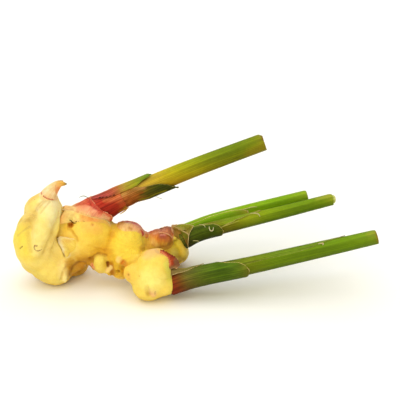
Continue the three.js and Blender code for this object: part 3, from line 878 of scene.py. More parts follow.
class Stem:
    """A stem's axis, with the directions up and to the near side at each distance along it."""

    STEP = 0.25

    def __init__(self, axis, foot, end, flare):
        knots = [np.array(p, float) for p in axis]
        knots = [2 * knots[0] - knots[1], *knots, 2 * knots[-1] - knots[-2]]
        line = [knots[1]]
        for before, a, b, after in zip(knots, knots[1:], knots[2:], knots[3:]):
            gaps = [max(np.linalg.norm(q - p), 1e-4) ** 0.5 for p, q in ((before, a), (a, b), (b, after))]
            leaving = (a - before) / gaps[0] - (b - before) / (gaps[0] + gaps[1]) + (b - a) / gaps[1]
            coming = (b - a) / gaps[1] - (after - a) / (gaps[1] + gaps[2]) + (after - b) / gaps[2]
            leaving, coming = leaving * gaps[1], coming * gaps[1]
            for t in np.linspace(0, 1, 101)[1:]:
                line.append(
                    a + leaving * t + (3 * (b - a) - 2 * leaving - coming) * t**2
                    + (2 * (a - b) + leaving + coming) * t**3
                )
        line = np.array(line)
        run = np.r_[0, np.cumsum(np.linalg.norm(np.diff(line, axis=0), axis=1))]
        self.length = run[-1]
        self.foot, self.end, self.flare = foot, end, flare
        self.steps = np.arange(0, self.length + self.STEP, self.STEP)
        centre = np.stack([np.interp(self.steps, run, line[:, i]) for i in range(3)], 1)
        along = np.gradient(centre, axis=0)
        along[-2:] = along[-3]
        along /= np.linalg.norm(along, axis=1)[:, None]
        far = np.cross((0, 0, 1), along)
        far /= np.linalg.norm(far, axis=1)[:, None]
        self.centre, self.along, self.near, self.up = centre, along, -far, np.cross(along, far)

    def read(self, table, distance):
        return np.stack([np.interp(distance, self.steps, table[:, i]) for i in range(3)], -1)

    def radius(self, distance):
        share = np.clip(distance / self.length, -0.05, 1)
        flare = self.flare * np.clip(1 - distance / FLARE_FADES, 0, 1.3) ** 1.3
        return self.foot + (self.end - self.foot) * share + flare

    def line(self, places, radius=None):
        """Points at places (distance, degrees) with one radius, or (distance, degrees, radius)."""
        return [self.at(*place) if radius is None else self.at(*place, radius) for place in places]

    def at(self, distance, degrees, radius):
        """The place at a distance along, turned from the top towards the near side."""
        distance, degrees, radius = np.broadcast_arrays(distance, degrees, radius)
        inside = np.clip(distance, 0, self.length)
        beyond = (distance - inside)[..., None] * self.read(self.along, inside)
        turn = np.radians(degrees)[..., None]
        out = np.cos(turn) * self.read(self.up, inside) + np.sin(turn) * self.read(self.near, inside)
        return self.read(self.centre, inside) + beyond + out * radius[..., None]


stems = {name: Stem(**facts) for name, facts in STEMS.items()}
upper, rear, middle, front, bud = (stems[name] for name in ("upper", "rear", "middle", "front", "bud"))


def flat_sheet(name, columns, rows):
    """A flat grid to roll or lay. Returns the piece, and how far across and along each point is."""
    bpy.ops.object.select_all(action="DESELECT")
    bpy.ops.mesh.primitive_grid_add(x_subdivisions=columns, y_subdivisions=rows, size=1)
    sheet = bpy.context.object
    sheet.name = sheet.data.name = name
    flat = read_out(sheet.data.vertices, "co")
    return sheet, flat[:, 0] + 0.5, flat[:, 1] + 0.5


def graded(keys, distance, degrees):
    """Colour along a stem, with painted shade underneath: keys are (distance, lit colour on top, shaded
    colour underneath).
    """
    lit_tops = eased([(d, *linear(top)) for d, top, _ in keys], distance)
    shaded_unders = eased([(d, *linear(under)) for d, _, under in keys], distance)
    share = (0.5 + 0.5 * np.cos(np.radians(degrees + 20)))[:, None]
    share = np.clip(share * 1.3 - 0.1, 0, 1)
    return shaded_unders * (1 - share) + lit_tops * share


def underneath(degrees):
    """1 at the bottom of a stem, falling to 0 at its sides."""
    return np.clip(-np.cos(np.radians(degrees)), 0, 1)


def ribs(distance, degrees, depth, seed):
    """Long shallow ribs round a stem, drifting a little along it."""
    turn = np.radians(degrees)
    drift = 0.5 * np.sin(distance / 31.0 + seed)
    return depth * (
        np.cos(9 * turn + drift + seed) + 0.6 * np.cos(14 * turn - 2 * drift + 2 * seed)
        + 0.5 * np.cos(23 * turn + seed)
    )


def culm(name, stem, start, colours, cut, seed, worn=0.1):
    """A stem, closed by its cut end: `cut` is (share of the radius, height, colour) inward.

    `worn` is how far the top of its end is rounded off, as a share of the radius.
    """
    stem = stems[stem]
    length_rows = int((stem.length - start) / STEM_PITCH)
    rows = length_rows + len(cut)
    piece, across, along = flat_sheet(name, STEM_COLUMNS, rows)
    row = np.round(along * rows).astype(int)
    on_cut = row > length_rows
    inward = np.clip(row - length_rows - 1, 0, len(cut) - 1)
    degrees = across * 360
    distance = start + (stem.length - CUT_BEVEL - start) * np.clip(row / length_rows, 0, 1)
    shares, heights = np.array([c[0] for c in cut]), np.array([c[1] for c in cut])
    hues = np.array([linear(c[2]) for c in cut])
    oval = 1 + 0.02 * np.cos(2 * np.radians(degrees) + seed)
    radius = stem.radius(distance) * oval + ribs(distance, degrees, 0.045, seed)
    radius = np.where(on_cut, radius * shares[inward], radius)
    near_end = np.clip((distance - stem.length + WEAR_LENGTH) / WEAR_LENGTH, 0, 1) ** 2
    radius = radius * (1 - worn * near_end * np.clip(np.cos(np.radians(degrees)) + 0.2, 0, 1))
    slant = 0.25 * np.cos(np.radians(degrees) + seed)
    distance = np.where(on_cut, stem.length + heights[inward] + slant * shares[inward], distance)
    move_points(piece, stem.at(distance, degrees, radius))
    # Painted shade: the culm's underside is coloured darker than its top.
    prime(piece, np.where(on_cut[:, None], hues[inward], graded(colours, distance, degrees)))
    tidy_mesh(piece, merge=0.01)
    close_ends(piece)
    return piece


def sheath(
    name, stem, over, margins, colours, seed, ragged, lift, rim, edge,
    mouth=0.0, swell=None, wall=SHEATH_WALL,
):
    """A leaf rolled round a stem: `margins` are (distance, from degrees, to degrees) up to its tip.

    `over` is its height above the culm, `mouth` how far its middle stands past its corners,
    `ragged` the unevenness of its edges, `rim` the width of its dry edge and `edge` how dry it is.
    """
    stem = stems[stem]
    start, tip = margins[0][0], margins[-1][0]
    rows = max(16, int((tip - start) / SHEATH_PITCH))
    piece, across, along = flat_sheet(name, SHEATH_COLUMNS, rows)
    distance = start + (tip - start) * (1 - (1 - along) ** 1.35)
    edges = eased(margins, distance)
    degrees = edges[:, 0] + (edges[:, 1] - edges[:, 0]) * across
    distance = distance + mouth * np.sin(np.pi * across) ** 0.8 * along**3
    radius = stem.radius(distance)
    width = np.radians(edges[:, 1] - edges[:, 0]) * radius
    inset = np.minimum(across, 1 - across) * width
    to_tip = np.minimum(inset, (1 - along) * (tip - start))
    torn = wander(np.stack([across * 40, along * 40, across * 0], 1), 2.3, seed)
    distance = distance + ragged * torn * np.exp(-to_tip / 0.8) * 2.0
    degrees = degrees + np.degrees(ragged * torn / radius) * np.exp(-inset / 0.8)
    overlap = 0.7 * (across - 0.5) * (edges[:, 1] - edges[:, 0]) / 360
    radius = radius + over + overlap * wall + ribs(distance, degrees, 0.05, seed)
    radius = radius + lift * np.exp(-to_tip / 1.2) + 0.03 * torn
    if swell is not None:
        radius = radius + swell(distance, degrees)
    move_points(piece, stem.at(distance, degrees, radius))
    corners = np.empty(len(piece.data.loops), np.int32)
    piece.data.loops.foreach_get("vertex_index", corners)
    flat = np.stack([degrees / 360, distance / 60], 1)[corners]
    piece.data.uv_layers.active.data.foreach_set("uv", flat.astype(np.float32).ravel())
    # Painted shade: the leaf's underside is coloured darker than its top.
    prime(piece, graded(colours, distance, degrees))
    dry = edge * np.exp(-((np.maximum(to_tip - 0.15 * rim, 0) / (0.55 * rim)) ** 2))
    store(piece, "rim", dry * (distance > start + 4))
    tidy_mesh(piece, merge=0.002)
    thicken(piece, wall, -1.0)
    return piece


# The upper stem: crimson at its foot, olive in the middle, green at its cut end.
OLD_CUT = [(0.975, 0.0, "7a5c20"), (0.93, 0.1, "a8a850"), (0.86, 0.05, "7c8a2c"), (0.84, -0.35, "6c7a22"),
           (0.80, -0.3, "88963a"), (0.78, 0.0, "9aa24a"), (0.55, 0.1, "a4ac58"), (0.53, -0.2, "808c34"),
           (0.50, 0.05, "a0a850"), (0.25, 0.1, "b0b468"), (0.0, 0.1, "b4b870")]
upper_culm = culm(
    "upper_culm", "upper", 3.0,
    [(3, "b86040", "8a2410"), (20, "c88838", "a05a10"), (32, "d4ac54", "a8801c"), (42, "ccae40", "a07c10"),
     (56, "b4ac1c", "9a7808"), (70, "949e14", "968404"), (84, "788c0f", "767004"), (100, "6c840a", "686a04"),
     (112, "76880e", "646604"), (119.5, "8a8a20", "6c6c06")],
    OLD_CUT, 1.0, worn=0.32,
)
wash(upper_culm, [
    ("98801c", 5, 0.35, upper.line([(108, 105), (118, 105)], 5.7)),
    ("7a5420", 0.9, 0.9, upper.line([(119.4, -40), (119.4, 0), (119.4, 40)], 5.4)),
])
present(upper_culm, UPPER_CULM, "upper_culm", "upper_stem")
upper_inner = sheath(
    "upper_inner_sheath", "upper", 0.5,
    [(4, -190, 190), (24, -150, 200), (29, 16, 250), (34, 48, 262), (40, 62, 258), (46, 72, 240),
     (49, 86, 225), (52, 102, 205), (54, 122, 185), (56, 150, 158)],
    [(4, "b83824", "8c1c08"), (19, "d87444", "963c10"), (26, "d47c3c", "884410"), (32, "bc7c34", "684408"),
     (37, "886c1c", "484004"), (42, "606010", "403c04"), (48, "4c580a", "3a3e04"), (56, "4a540c", "3a3e04")],
    2.0, ragged=0.5, lift=0.3, rim=0.4, edge=0.35,
    swell=lambda distance, degrees: 1.5 * np.clip((distance - 28) / 8, 0, 1) * underneath(degrees),
)
wash(upper_inner, [
    # Painted highlight: a pale band along the lit upper side of the inner sheath.
    ("dca064", 2.0, 0.8, upper.line([(19, 44), (25, 42), (29, 38), (32, 42), (36, 56)], 7.0)),
    ("8c3c14", 1.2, 0.7, upper.line([(21, 84), (25, 80), (30, 84), (34, 80)], 7.0)),
    ("b09420", 1.6, 0.8, upper.line([(22, 150), (27, 165), (31, 150), (35, 160)], 7.0)),
    ("a89a24", 1.0, 0.8, upper.line([(30, 120), (36, 128), (42, 122), (48, 130)], 7.0)),
    ("3c4004", 1.2, 0.7, upper.line([(32, 90), (38, 96), (44, 92), (50, 104)], 7.0)),
])
present(upper_inner, GREEN_SHEATH, "green_sheath", "upper_stem_inner_sheath")
upper_base = sheath(
    "upper_base_sheath", "upper", 1.3,
    [(1, -185, 185), (12, -170, 178), (19, -120, 160), (20.4, -60, 140)],
    [(1, "c04c38", "94200e"), (9, "b83828", "881c0a"), (14, "bc4c30", "8c2410"), (18, "cc6c40", "94340e"),
     (20.4, "d07444", "943c10")],
    3.0, mouth=0.8, ragged=0.6, lift=0.05, rim=0.4, edge=0.0, wall=0.3,
)
wash(upper_base, [
    # Painted highlight: a pale band along the lit upper side of the base sheath, below the outer sheath's
    # margin.
    ("d88858", 2.4, 0.65, upper.line([(10, 32), (13, 38), (16, 42), (20, 44)], 8.6)),
    ("9c2818", 2.4, 0.7, upper.line([(7, 66), (11, 74), (15, 80)], 8.6)),
    ("b08424", 1.5, 1.0, upper.line([(15, 128), (17.6, 122), (20, 116)], 8.4)),
])
present(upper_base, RED_SHEATH, "red_sheath", "upper_stem_base_sheath")
upper_outer = sheath(
    "upper_outer_sheath", "upper", 1.8,
    [(1.5, -170, -2), (6, -165, 10), (12, -150, 26), (18, -135, 34), (26, -110, 36), (32, -80, 36),
     (37, -50, 24), (43.5, 4, 8)],
    [(1, "bc4c48", "b04030"), (8, "bc4a48", "b84434"), (14, "c45448", "c45438"), (19, "c86c44", "cc783c"),
     (23, "c09040", "c49038"), (27, "b09c30", "b0982c"), (35, "8c961c", "94942c"), (43, "688c20", "5c7418")],
    4.0, ragged=0.35, lift=0.05, rim=0.4, edge=0.15, wall=0.25,
    swell=lambda distance, degrees: 2.4 * np.exp(-(((distance - 15) / 10) ** 2))
    * np.clip(np.cos(np.radians(degrees + 50)) - 0.5, 0, 1),
)
present(upper_outer, GREEN_SHEATH, "green_sheath", "upper_stem_outer_sheath")

# The two rear stems.
FRESH_CUT = [(0.97, 0.0, "867a2c"), (0.92, 0.1, "8aa42c"), (0.80, 0.05, "98ae48"), (0.78, -0.25, "5a5c18"),
             (0.74, -0.2, "6e8a20"), (0.72, 0.0, "a0b45c"), (0.45, 0.1, "a8b868"), (0.43, -0.2, "6a5a1c"),
             (0.40, 0.05, "a0b05a"), (0.2, 0.1, "b4be7c"), (0.0, 0.1, "b8c284")]
rear_culm = culm(
    "rear_culm", "rear", -5.0,
    [(-5, "98a830", "788828"), (4, "8eac24", "6c881c"), (16, "8cae1c", "6a8810"), (28, "86b010", "6f940c"),
     (42, "88b010", "74960a"), (56, "84ac0e", "6a8c06"), (72, "7ca20c", "5f8004"),
     (90.5, "8aa018", "5e7a06")],
    FRESH_CUT, 5.0,
)
present(rear_culm, REAR_CULM, "rear_culm", "rear_stem")
rear_sheath = sheath(
    "rear_sheath", "rear", 0.5,
    [(-4.5, -20, 262), (3, 24, 262), (15, 33, 262), (23, 29, 255), (32, 26, 240), (39, 29, 215),
     (45, 42, 170), (48.5, 62, 72)],
    [(-4, "98a830", "788828"), (10, "8cb01c", "749818"), (24, "84b018", "70a010"), (36, "86ac18", "709410"),
     (44, "98a828", "808c1c"), (48, "b0a84c", "988c34")],
    6.0, ragged=0.3, lift=0.2, rim=0.5, edge=0.7,
)
present(rear_sheath, REAR_CULM, "green_sheath", "rear_stem_sheath")
DOMED_CUT = [(0.98, 0.0, "8c9c24"), (0.95, 0.0, "a0a848"), (0.86, 0.1, "aaac50"), (0.78, 0.0, "8c9838"),
             (0.74, 0.6, "b8bc70"), (0.68, 1.2, "ced08c"), (0.56, 1.7, "dcd89c"), (0.38, 2.0, "e0dca4"),
             (0.18, 2.2, "dcd8a0"), (0.0, 2.25, "d8d49c")]
middle_culm = culm(
    "middle_culm", "middle", 3.0,
    [(3, "787c28", "4c4c14"), (30, "7c7814", "5c5206"), (40, "8a8c14", "5c5c06"), (50, "96a01c", "606c06"),
     (60, "8aa014", "566804"), (72, "7c960e", "526604"), (86, "72900c", "526804"), (98, "78920e", "546804"),
     (106.5, "9aa02c", "5e7208")],
    DOMED_CUT, 7.0,
)
wash(middle_culm, [("aca24c", 1.8, 0.45, middle.line([(96, 10), (105, 10)], 3.9))])
present(middle_culm, GREEN_CULM, "green_culm", "middle_stem")
middle_inner = sheath(
    "middle_inner_sheath", "middle", 0.4,
    [(3, -195, 190), (20, -180, 120), (27, -175, 72), (31, -170, 60), (37, -160, 39), (44, -145, 24),
     (50, -110, 8), (54, -70, -1), (57.5, -14, -8)],
    [(3, "6c6c24", "4c4c14"), (26, "88881c", "6c680c"), (36, "88a01c", "74800c"), (48, "90a820", "78881c"),
     (57, "a0a438", "8a8c2c")],
    8.0, ragged=0.4, lift=0.15, rim=0.5, edge=0.6, wall=0.3,
)
present(middle_inner, GREEN_SHEATH, "green_sheath", "middle_stem_inner_sheath")
middle_outer = sheath(
    "middle_outer_sheath", "middle", 0.85,
    [(5, -200, 190), (9, -110, 215), (13, -14, 215), (17, -7, 212), (20, 2, 205), (24, 12, 190),
     (27.5, 29, 160), (29.6, 52, 128), (30.8, 84, 88)],
    [(1, "4c3414", "2c1806"), (7, "54541c", "343004"), (12, "546414", "3c4604"), (24, "50660c", "404a04"),
     (31, "66701a", "4c5008")],
    9.0, ragged=0.2, lift=0.15, rim=0.5, edge=0.75, wall=0.3,
)
# Painted highlight: a pale line along the top of the outer sheath, where its margin runs over.
wash(middle_outer, [("8c9830", 1.5, 0.9, middle.line([(13, -12), (17, -5), (20, 4), (24, 14)], 6.4))])
present(middle_outer, GREEN_SHEATH, "green_sheath", "middle_stem_outer_sheath")

# The front stem: red-brown at its foot, then dark green under its outer sheath.
front_culm = culm(
    "front_culm", "front", 3.0,
    [(3, "7c3a1c", "64240e"), (40, "60700c", "4a5404"), (58, "6e7c0c", "586004"), (76, "6e8a0a", "526402"),
     (100, "6c8a0e", "526402"), (120, "70900c", "526802"), (134, "76921a", "566a04"),
     (141, "84922a", "5c6c08")],
    FRESH_CUT, 11.0,
)
wash(front_culm, [
    ("a09a3c", 2.4, 0.4, front.line([(136, 20), (140, 20)], 4.9)),
    ("8a6428", 0.7, 0.7, front.line([(140.8, 20), (140.8, 60), (140.8, 100)], 4.7)),
])
present(front_culm, GREEN_CULM, "green_culm", "front_stem")
front_inner = sheath(
    "front_inner_sheath", "front", 0.3,
    [(4, -195, 190), (34, -190, 150), (44, -185, 80), (52, -180, 47), (61, -172, 40), (72, -165, 38),
     (84, -158, 38), (94, -145, 31), (104, -120, 11), (112, -80, -5), (121, -31, -24)],
    [(4, "70401c", "5c2c10"), (44, "62700c", "4c5604"), (58, "7c8a18", "646c0a"), (74, "76901c", "627410"),
     (96, "708c18", "5a6c0c"), (121, "90983c", "748030")],
    12.0, ragged=0.25, lift=0.05, rim=0.5, edge=0.3, wall=0.2,
)
present(front_inner, GREEN_SHEATH, "green_sheath", "front_stem_inner_sheath")
front_outer = sheath(
    "front_outer_sheath", "front", 0.65,
    [(4.0, -195, 190), (30, -90, 235), (37, -24, 230), (41, 1, 222), (45, 8, 212), (49, 17, 190),
     (52, 32, 160), (54.5, 52, 128), (56, 80, 86)],
    [(3, "903418", "7c200c"), (7, "923818", "7a280e"), (11, "804c1c", "6e340c"), (17, "746e30", "5c4812"),
     (26, "60721e", "50560c"), (38, "54740e", "485a06"), (48, "607c18", "50600c"), (56, "7c8028", "605c10")],
    13.0, ragged=0.2, lift=0.1, rim=0.55, edge=0.8, wall=0.25,
    swell=lambda distance, degrees: -0.6 * np.exp(-(((distance - 3) / 6) ** 2)) * underneath(degrees),
)
present(front_outer, GREEN_SHEATH, "green_sheath", "front_stem_outer_sheath")


WEB_HEIGHTS = [(0, 6.0), (5, 5.4), (7.8, 4.2), (10.5, 2.4), (13.5, 0.9), (17, 0)]


def webbed(distance, degrees):
    """The base membrane stands away from the stem's top, towards the knob's shoulder."""
    near_top = np.clip(np.cos(np.radians(degrees + 40)), 0, 1) ** 2
    return near_top * eased(WEB_HEIGHTS, distance)[..., 0]


front_base = sheath(
    "front_base_membrane", "front", 1.2,
    [(1, -150, 32), (6, -145, 22), (9, -140, 18), (12, -132, 15), (16, -115, 11), (20, -90, 3), (24, -60, -8),
     (28, -34, -28)],
    [(1, "8c6840", "806040"), (6, "8c7048", "806644"), (12, "8c7c48", "7c7440"), (20, "7c8040", "6c7034"),
     (28, "707c30", "606c28")],
    14.0, ragged=0.25, lift=0.1, rim=0.6, edge=0.45, swell=webbed, wall=0.25,
)
present(front_base, MEMBRANE, "membrane", "front_stem_base_scale")

# ---- scale leaves on the knobs --------------------------------------------------------------


def along_line(points, share):
    """Places along a smooth line through points, by share of its length."""
    points = np.array(points, float)
    run = np.r_[0, np.cumsum(np.linalg.norm(np.diff(points, axis=0), axis=1))]
    return eased([(r, *p) for r, p in zip(run, points)], share * run[-1])


def scale_leaf(
    name, foot, rim, columns, rows, lift, colours, seed, ragged, rim_width,
    curl=0.4, ground=bare_root, facing=None, core=None, streaks=0.0, stands=0.0, crumple=0.0, fray=0.0,
):
    """A thin leaf laid between two drawn edges: `colours` run from its foot to its rim.

    It drops onto the ground from the way it faces or, where it wraps round a knob, in towards
    the knob's core. `stands` is how far its rim keeps to its drawn line instead, `crumple` the
    height of its folds and `fray` how uneven its foot is.
    """
    piece, across, along = flat_sheet(name, columns, rows)
    low, high = along_line(foot, across), along_line(rim, across)
    torn = wander(np.stack([across * 50, along * 8, across * 0], 1), 2.5, seed)
    reach = np.linalg.norm(high - low, axis=1)
    share = along + torn / np.maximum(reach, 1.0) * (ragged * along**3 + fray * (1 - along) ** 3)
    target = low * (1 - share[:, None]) + high * share[:, None]
    laid, outward = np.empty_like(target), np.empty_like(target)
    for i, place in enumerate((target + FROM_LAYOUT) * MM):
        spot = None
        if facing or core:
            way = Vector(facing or place - (np.array(core) + FROM_LAYOUT) * MM).normalized()
            spot, normal, _, _ = ground.ray_cast(Vector(place) + way * DROP_FROM * MM, -way, DROP_REACH * MM)
        if spot is None:
            spot, normal, _, _ = ground.find_nearest(Vector(place))
        laid[i], outward[i] = np.array(spot) / MM - FROM_LAYOUT, normal
    shape = (rows + 1, columns + 1, 3)
    order = np.lexsort((across, along))
    for field in (laid, outward):
        grid = field[order].reshape(shape)
        for _ in range(SMOOTHINGS):
            inner = grid[1:-1, 1:-1]
            around = grid[:-2, 1:-1] + grid[2:, 1:-1] + grid[1:-1, :-2] + grid[1:-1, 2:]
            grid[1:-1, 1:-1] = inner * 0.4 + around * 0.15
        field[order] = grid.reshape(-1, 3)
    outward /= np.linalg.norm(outward, axis=1)[:, None]
    to_rim = (1 - share) * reach
    to_side = np.minimum(across, 1 - across) * np.linalg.norm(high[-1] - high[0])
    from_edge = np.minimum(to_rim, to_side)
    height = lift + curl * np.exp(-to_rim / 1.3) - (lift + 0.3) * np.exp(-share * reach / 0.9)
    height = height + 0.06 * torn + 0.05 * np.sin(across * 150 + 4 * along)
    if crumple:
        folds = wander(np.stack([across * 30, along * 14, across * 0], 1), 3.5, seed + 6)
        height = height + crumple * folds * along
    free = (stands * along)[:, None]
    move_points(piece, laid * (1 - free) + target * free + outward * height[:, None])
    uneven = wander(np.stack([across * 60, along * 3, across * 0], 1), 1.6, seed + 3)
    uneven += wander(np.stack([across * 60, along * 3, across * 0], 1), 5.0, seed + 4)
    prime(piece, eased([(d, *linear(c)) for d, c in colours], np.clip(along + streaks * uneven, 0, 1)))
    store(piece, "rim", np.exp(-((from_edge / (0.6 * rim_width)) ** 2)))
    tidy_mesh(piece, merge=0.002)
    thicken(piece, SCALE_WALL, 1.0)
    return piece


FRONT = (0, -0.83, 0.55)
SECOND_CORE = (-69, 31, 42)
RING_RIM = [(-86, 34, 44), (-84, 32.5, 46.5), (-81.5, 28, 47.5), (-78, 22.8, 49.3), (-74, 19.8, 49.8),
            (-69, 18.2, 49.4), (-64.5, 18.8, 48), (-60, 20.6, 45.4), (-57.4, 22, 43), (-55.4, 20.4, 41.4)]
ring_leaf = scale_leaf(
    "ring_leaf",
    [(-88, 27, 40), (-86.3, 23.5, 43), (-82.8, 19, 45.2), (-78.7, 17.1, 46.4), (-74.8, 16.7, 47),
     (-70.9, 17.4, 46.9), (-66.6, 18.4, 45.8), (-62, 19.5, 44), (-58.8, 20.2, 41.6), (-56.8, 19.6, 40.2),
     (-55.2, 19, 40.2)],
    RING_RIM, 120, 18, 0.3,
    [(0, "f6c868"), (0.25, "f6b468"), (0.6, "f8b06a"), (0.85, "f9c084"), (1, "fad09a")],
    21.0, rim_width=0.4, ragged=0.3, core=SECOND_CORE,
)
wash(ring_leaf, [
    ("f9dc84", 9, 1.0, [(-87, 27, 45), (-83, 21, 48), (-80, 20, 49.5)]),
    ("f6a050", 5, 0.7, [(-74, 19, 49), (-69, 18, 48.5)]),
    ("ecbc58", 6, 0.9, [(-62, 20.5, 45), (-58.5, 22, 42), (-55, 19, 39.5)]),
    ("c0a040", 1.4, 0.6, [(-60, 21, 46), (-57.5, 22, 43.6)]),
])
stain(ring_leaf, [
    ("rust", 0.7, 0.8, [(-80.5, 17.8, 46.0), (-79.6, 17.6, 46.3)]),
    ("rust", 0.6, 0.8, [(-78.4, 17.2, 46.5)]),
    ("rust", 0.6, 0.6, [(-75.4, 16.9, 47), (-74.4, 16.8, 47)]),
    ("rim", 0.8, 0.9, [(-60, 20.6, 45.8), (-57.4, 22, 43.2), (-55.4, 20.4, 41.6)]),
])
present(ring_leaf, RING_SCALE, "ring_scale", "ring_scale")

COLLAR_RIM = upper.line([(2, -95), (1.8, -60), (1.8, -25), (2.2, 4), (3.2, 25), (4.4, 42), (6, 60), (8, 76),
                         (10, 92), (11, 108), (10, 128), (7, 150)], 9.6)
collar_ground = ground_of(root_body, upper_base)
collar = scale_leaf(
    "upper_collar", [(p[0], p[1] - 0.3, p[2] - 0.2) for p in RING_RIM[1:-1]], COLLAR_RIM,
    120, 30, 0.5,
    [(0, "fad894"), (0.12, "f8c890"), (0.3, "f2a884"), (0.5, "dc7458"), (0.72, "c4503c"), (0.93, "bc4430"),
     (1, "e09878")],
    22.0, curl=0.2, rim_width=0.3, ragged=0.5, ground=collar_ground, streaks=0.2, core=SECOND_CORE,
)
wash(collar, [
    ("f4d48c", 8, 1.1, [(-88, 31, 48), (-85, 30, 50), (-82.5, 27, 50.5)]),
    ("c07048", 4, 1.0, [(-79.5, 29, 53), (-77, 29, 54.5)]),
    ("cc5438", 5, 0.7, [(-77, 28, 54), (-73, 27, 55)]),
    ("f8b48c", 3, 0.7, [(-78, 25, 51.4), (-73, 23.5, 52), (-68.5, 21.5, 50.6)]),
    ("f8cc98", 3, 0.8, [(-63, 21, 48), (-60, 22.5, 46)]),
    ("d86c50", 2.4, 0.9, upper.line([(10, 92), (11, 108)], 9.6)),
    ("bc4838", 3.4, 1.3, upper.line([(2.2, 0), (3.2, 25), (4.4, 44)], 9.6)),
])
present(collar, PINK_SCALE, "pink_scale", "upper_stem_collar_scale")

third_leaf = scale_leaf(
    "third_knob_leaf",
    [(-54, 22.5, 39), (-52.8, 20, 39.8), (-50.5, 17.5, 39.9), (-47.9, 16.4, 40), (-45.3, 16.5, 39.9),
     (-42.7, 17.1, 39.4), (-40.2, 17.7, 37.6), (-37.8, 20.2, 34.2), (-35.4, 24, 29.5)],
    [(-53.5, 27, 39.7), (-51, 28, 40.2), (-48, 29.5, 40), (-45, 30, 40), (-42, 29.5, 39.4),
     (-39.5, 28.5, 37.4), (-37, 28.5, 35.4), (-35.8, 29, 32.4), (-34.6, 29.5, 28.4)],
    72, 22, 0.3,
    [(0, "f6d06c"), (0.25, "fcda9c"), (0.5, "fac498"), (0.75, "e08c6c"), (1, "b04c40")],
    23.0, ragged=0.8, curl=0.3, streaks=0.2, rim_width=0.3, crumple=0.5, fray=0.8,
)
wash(third_leaf, [
    ("dca43c", 5, 0.95, [(-54, 23, 39.5), (-52.5, 24, 40.5)]),
    ("fad08c", 4, 0.7, [(-50, 20, 40.5), (-45, 19.5, 41)]),
    ("d08048", 3, 0.8, [(-39.4, 24, 38.6), (-37.4, 24, 36)]),
    ("e89878", 3, 0.8, [(-42, 20, 40.6), (-39.5, 20.5, 38.8)]),
    ("d4604c", 2.6, 0.9, [(-42.6, 25, 41.2), (-39.6, 24, 39.8)]),
    ("cc9040", 1.6, 0.8, [(-46, 18.4, 40.8), (-44.5, 18.2, 40.6)]),
    ("d04c34", 1.8, 1.0, [(-38.3, 20.4, 36.8), (-37.4, 21.5, 34.8)]),
    ("dc8c48", 2.8, 1.1, [(-35.2, 23.8, 32), (-35.0, 26, 29.6)]),
])
stain(third_leaf, [
    ("blush", 1.8, 0.9, [(-38.3, 20.4, 36.8), (-37.4, 21.5, 34.8)]),
    ("blush", 2.6, 0.5, [(-45, 25, 41.6), (-41.5, 24, 40.8), (-38.5, 25, 38)]),
    ("rust", 1.0, 0.4, [(-46, 18, 40.6), (-44.5, 17.8, 40.4)]),
    ("rust", 0.7, 0.4, [(-42.1, 18.6, 39.9)]),
])
present(third_leaf, PINK_SCALE, "pink_scale", "third_knob_scale")

rear_leaf = scale_leaf(
    "rear_knob_leaf",
    [(-36, 31, 28.5), (-35, 28.2, 28.5), (-33.8, 25, 27.2), (-31.8, 22.6, 25), (-28.8, 23, 22.3),
     (-25.6, 24, 20.6), (-22.5, 25.6, 19.4), (-19.8, 26.3, 20), (-17.6, 28.3, 22.4)],
    [(-36, 33, 28.0), (-34, 33.6, 28.0), (-31.5, 35, 28.4), (-28.5, 36.5, 29.4), (-25.5, 37, 30.8),
     (-22.5, 38, 31.2), (-20, 38, 30.6), (-18.8, 36, 29.4), (-18.0, 32, 29.4)],
    72, 30, 0.5,
    [(0, "e4b43c"), (0.2, "f0b84c"), (0.45, "f2a650"), (0.68, "dc8850"), (0.86, "b8704c"), (1, "905840")],
    24.0, ragged=0.5, facing=FRONT, streaks=0.08, rim_width=0.3, crumple=0.35, fray=0.8, curl=0.2,
)
wash(rear_leaf, [
    ("f8cc74", 3.5, 0.8, [(-31, 23, 27), (-29, 23.5, 25)]),
    ("f0b48c", 1.4, 0.7, [(-30, 29, 30.5), (-27, 28, 31.4)]),
    ("c48a28", 3.0, 0.9, [(-21, 25, 27), (-19.5, 26, 25)]),
    ("c0703c", 4.4, 0.8, [(-24.6, 24, 30.6), (-20.4, 25, 29.6)]),
    ("a05048", 2.4, 0.95, PURPLE_EYE),
    ("e8a090", 1.0, 0.8, [(-26.0, 23, 34.0), (-22.4, 23, 33.6)]),
    ("c05c30", 3.0, 0.9, [(-34.6, 31, 29), (-32.5, 33, 29)]),
    ("9c6848", 3.0, 0.8, [(-25, 35, 30.6), (-21, 35.5, 31)]),
])
present(rear_leaf, PINK_SCALE, "pink_scale", "rear_knob_scale")
bud_lip = scale_leaf(
    "rear_bud_lip",
    [(-27.0, 27, 33.0), (-24.9, 27, 33.2), (-22.6, 27, 32.6), (-20.4, 27, 31.6), (-18.8, 27, 29.8)],
    [(-26.4, 26, 32.0), (-24.7, 26, 32.1), (-22.8, 26, 31.5), (-20.8, 26, 30.6), (-19.2, 26, 28.8)],
    36, 12, 0.4, [(0, "b86c4c"), (0.5, "d08058"), (1, "e49c78")], 28.0, ragged=0.4, curl=0.5, rim_width=0.3,
    ground=ground_of(root_body, rear_leaf), facing=FRONT,
)
present(bud_lip, PINK_SCALE, "pink_scale")

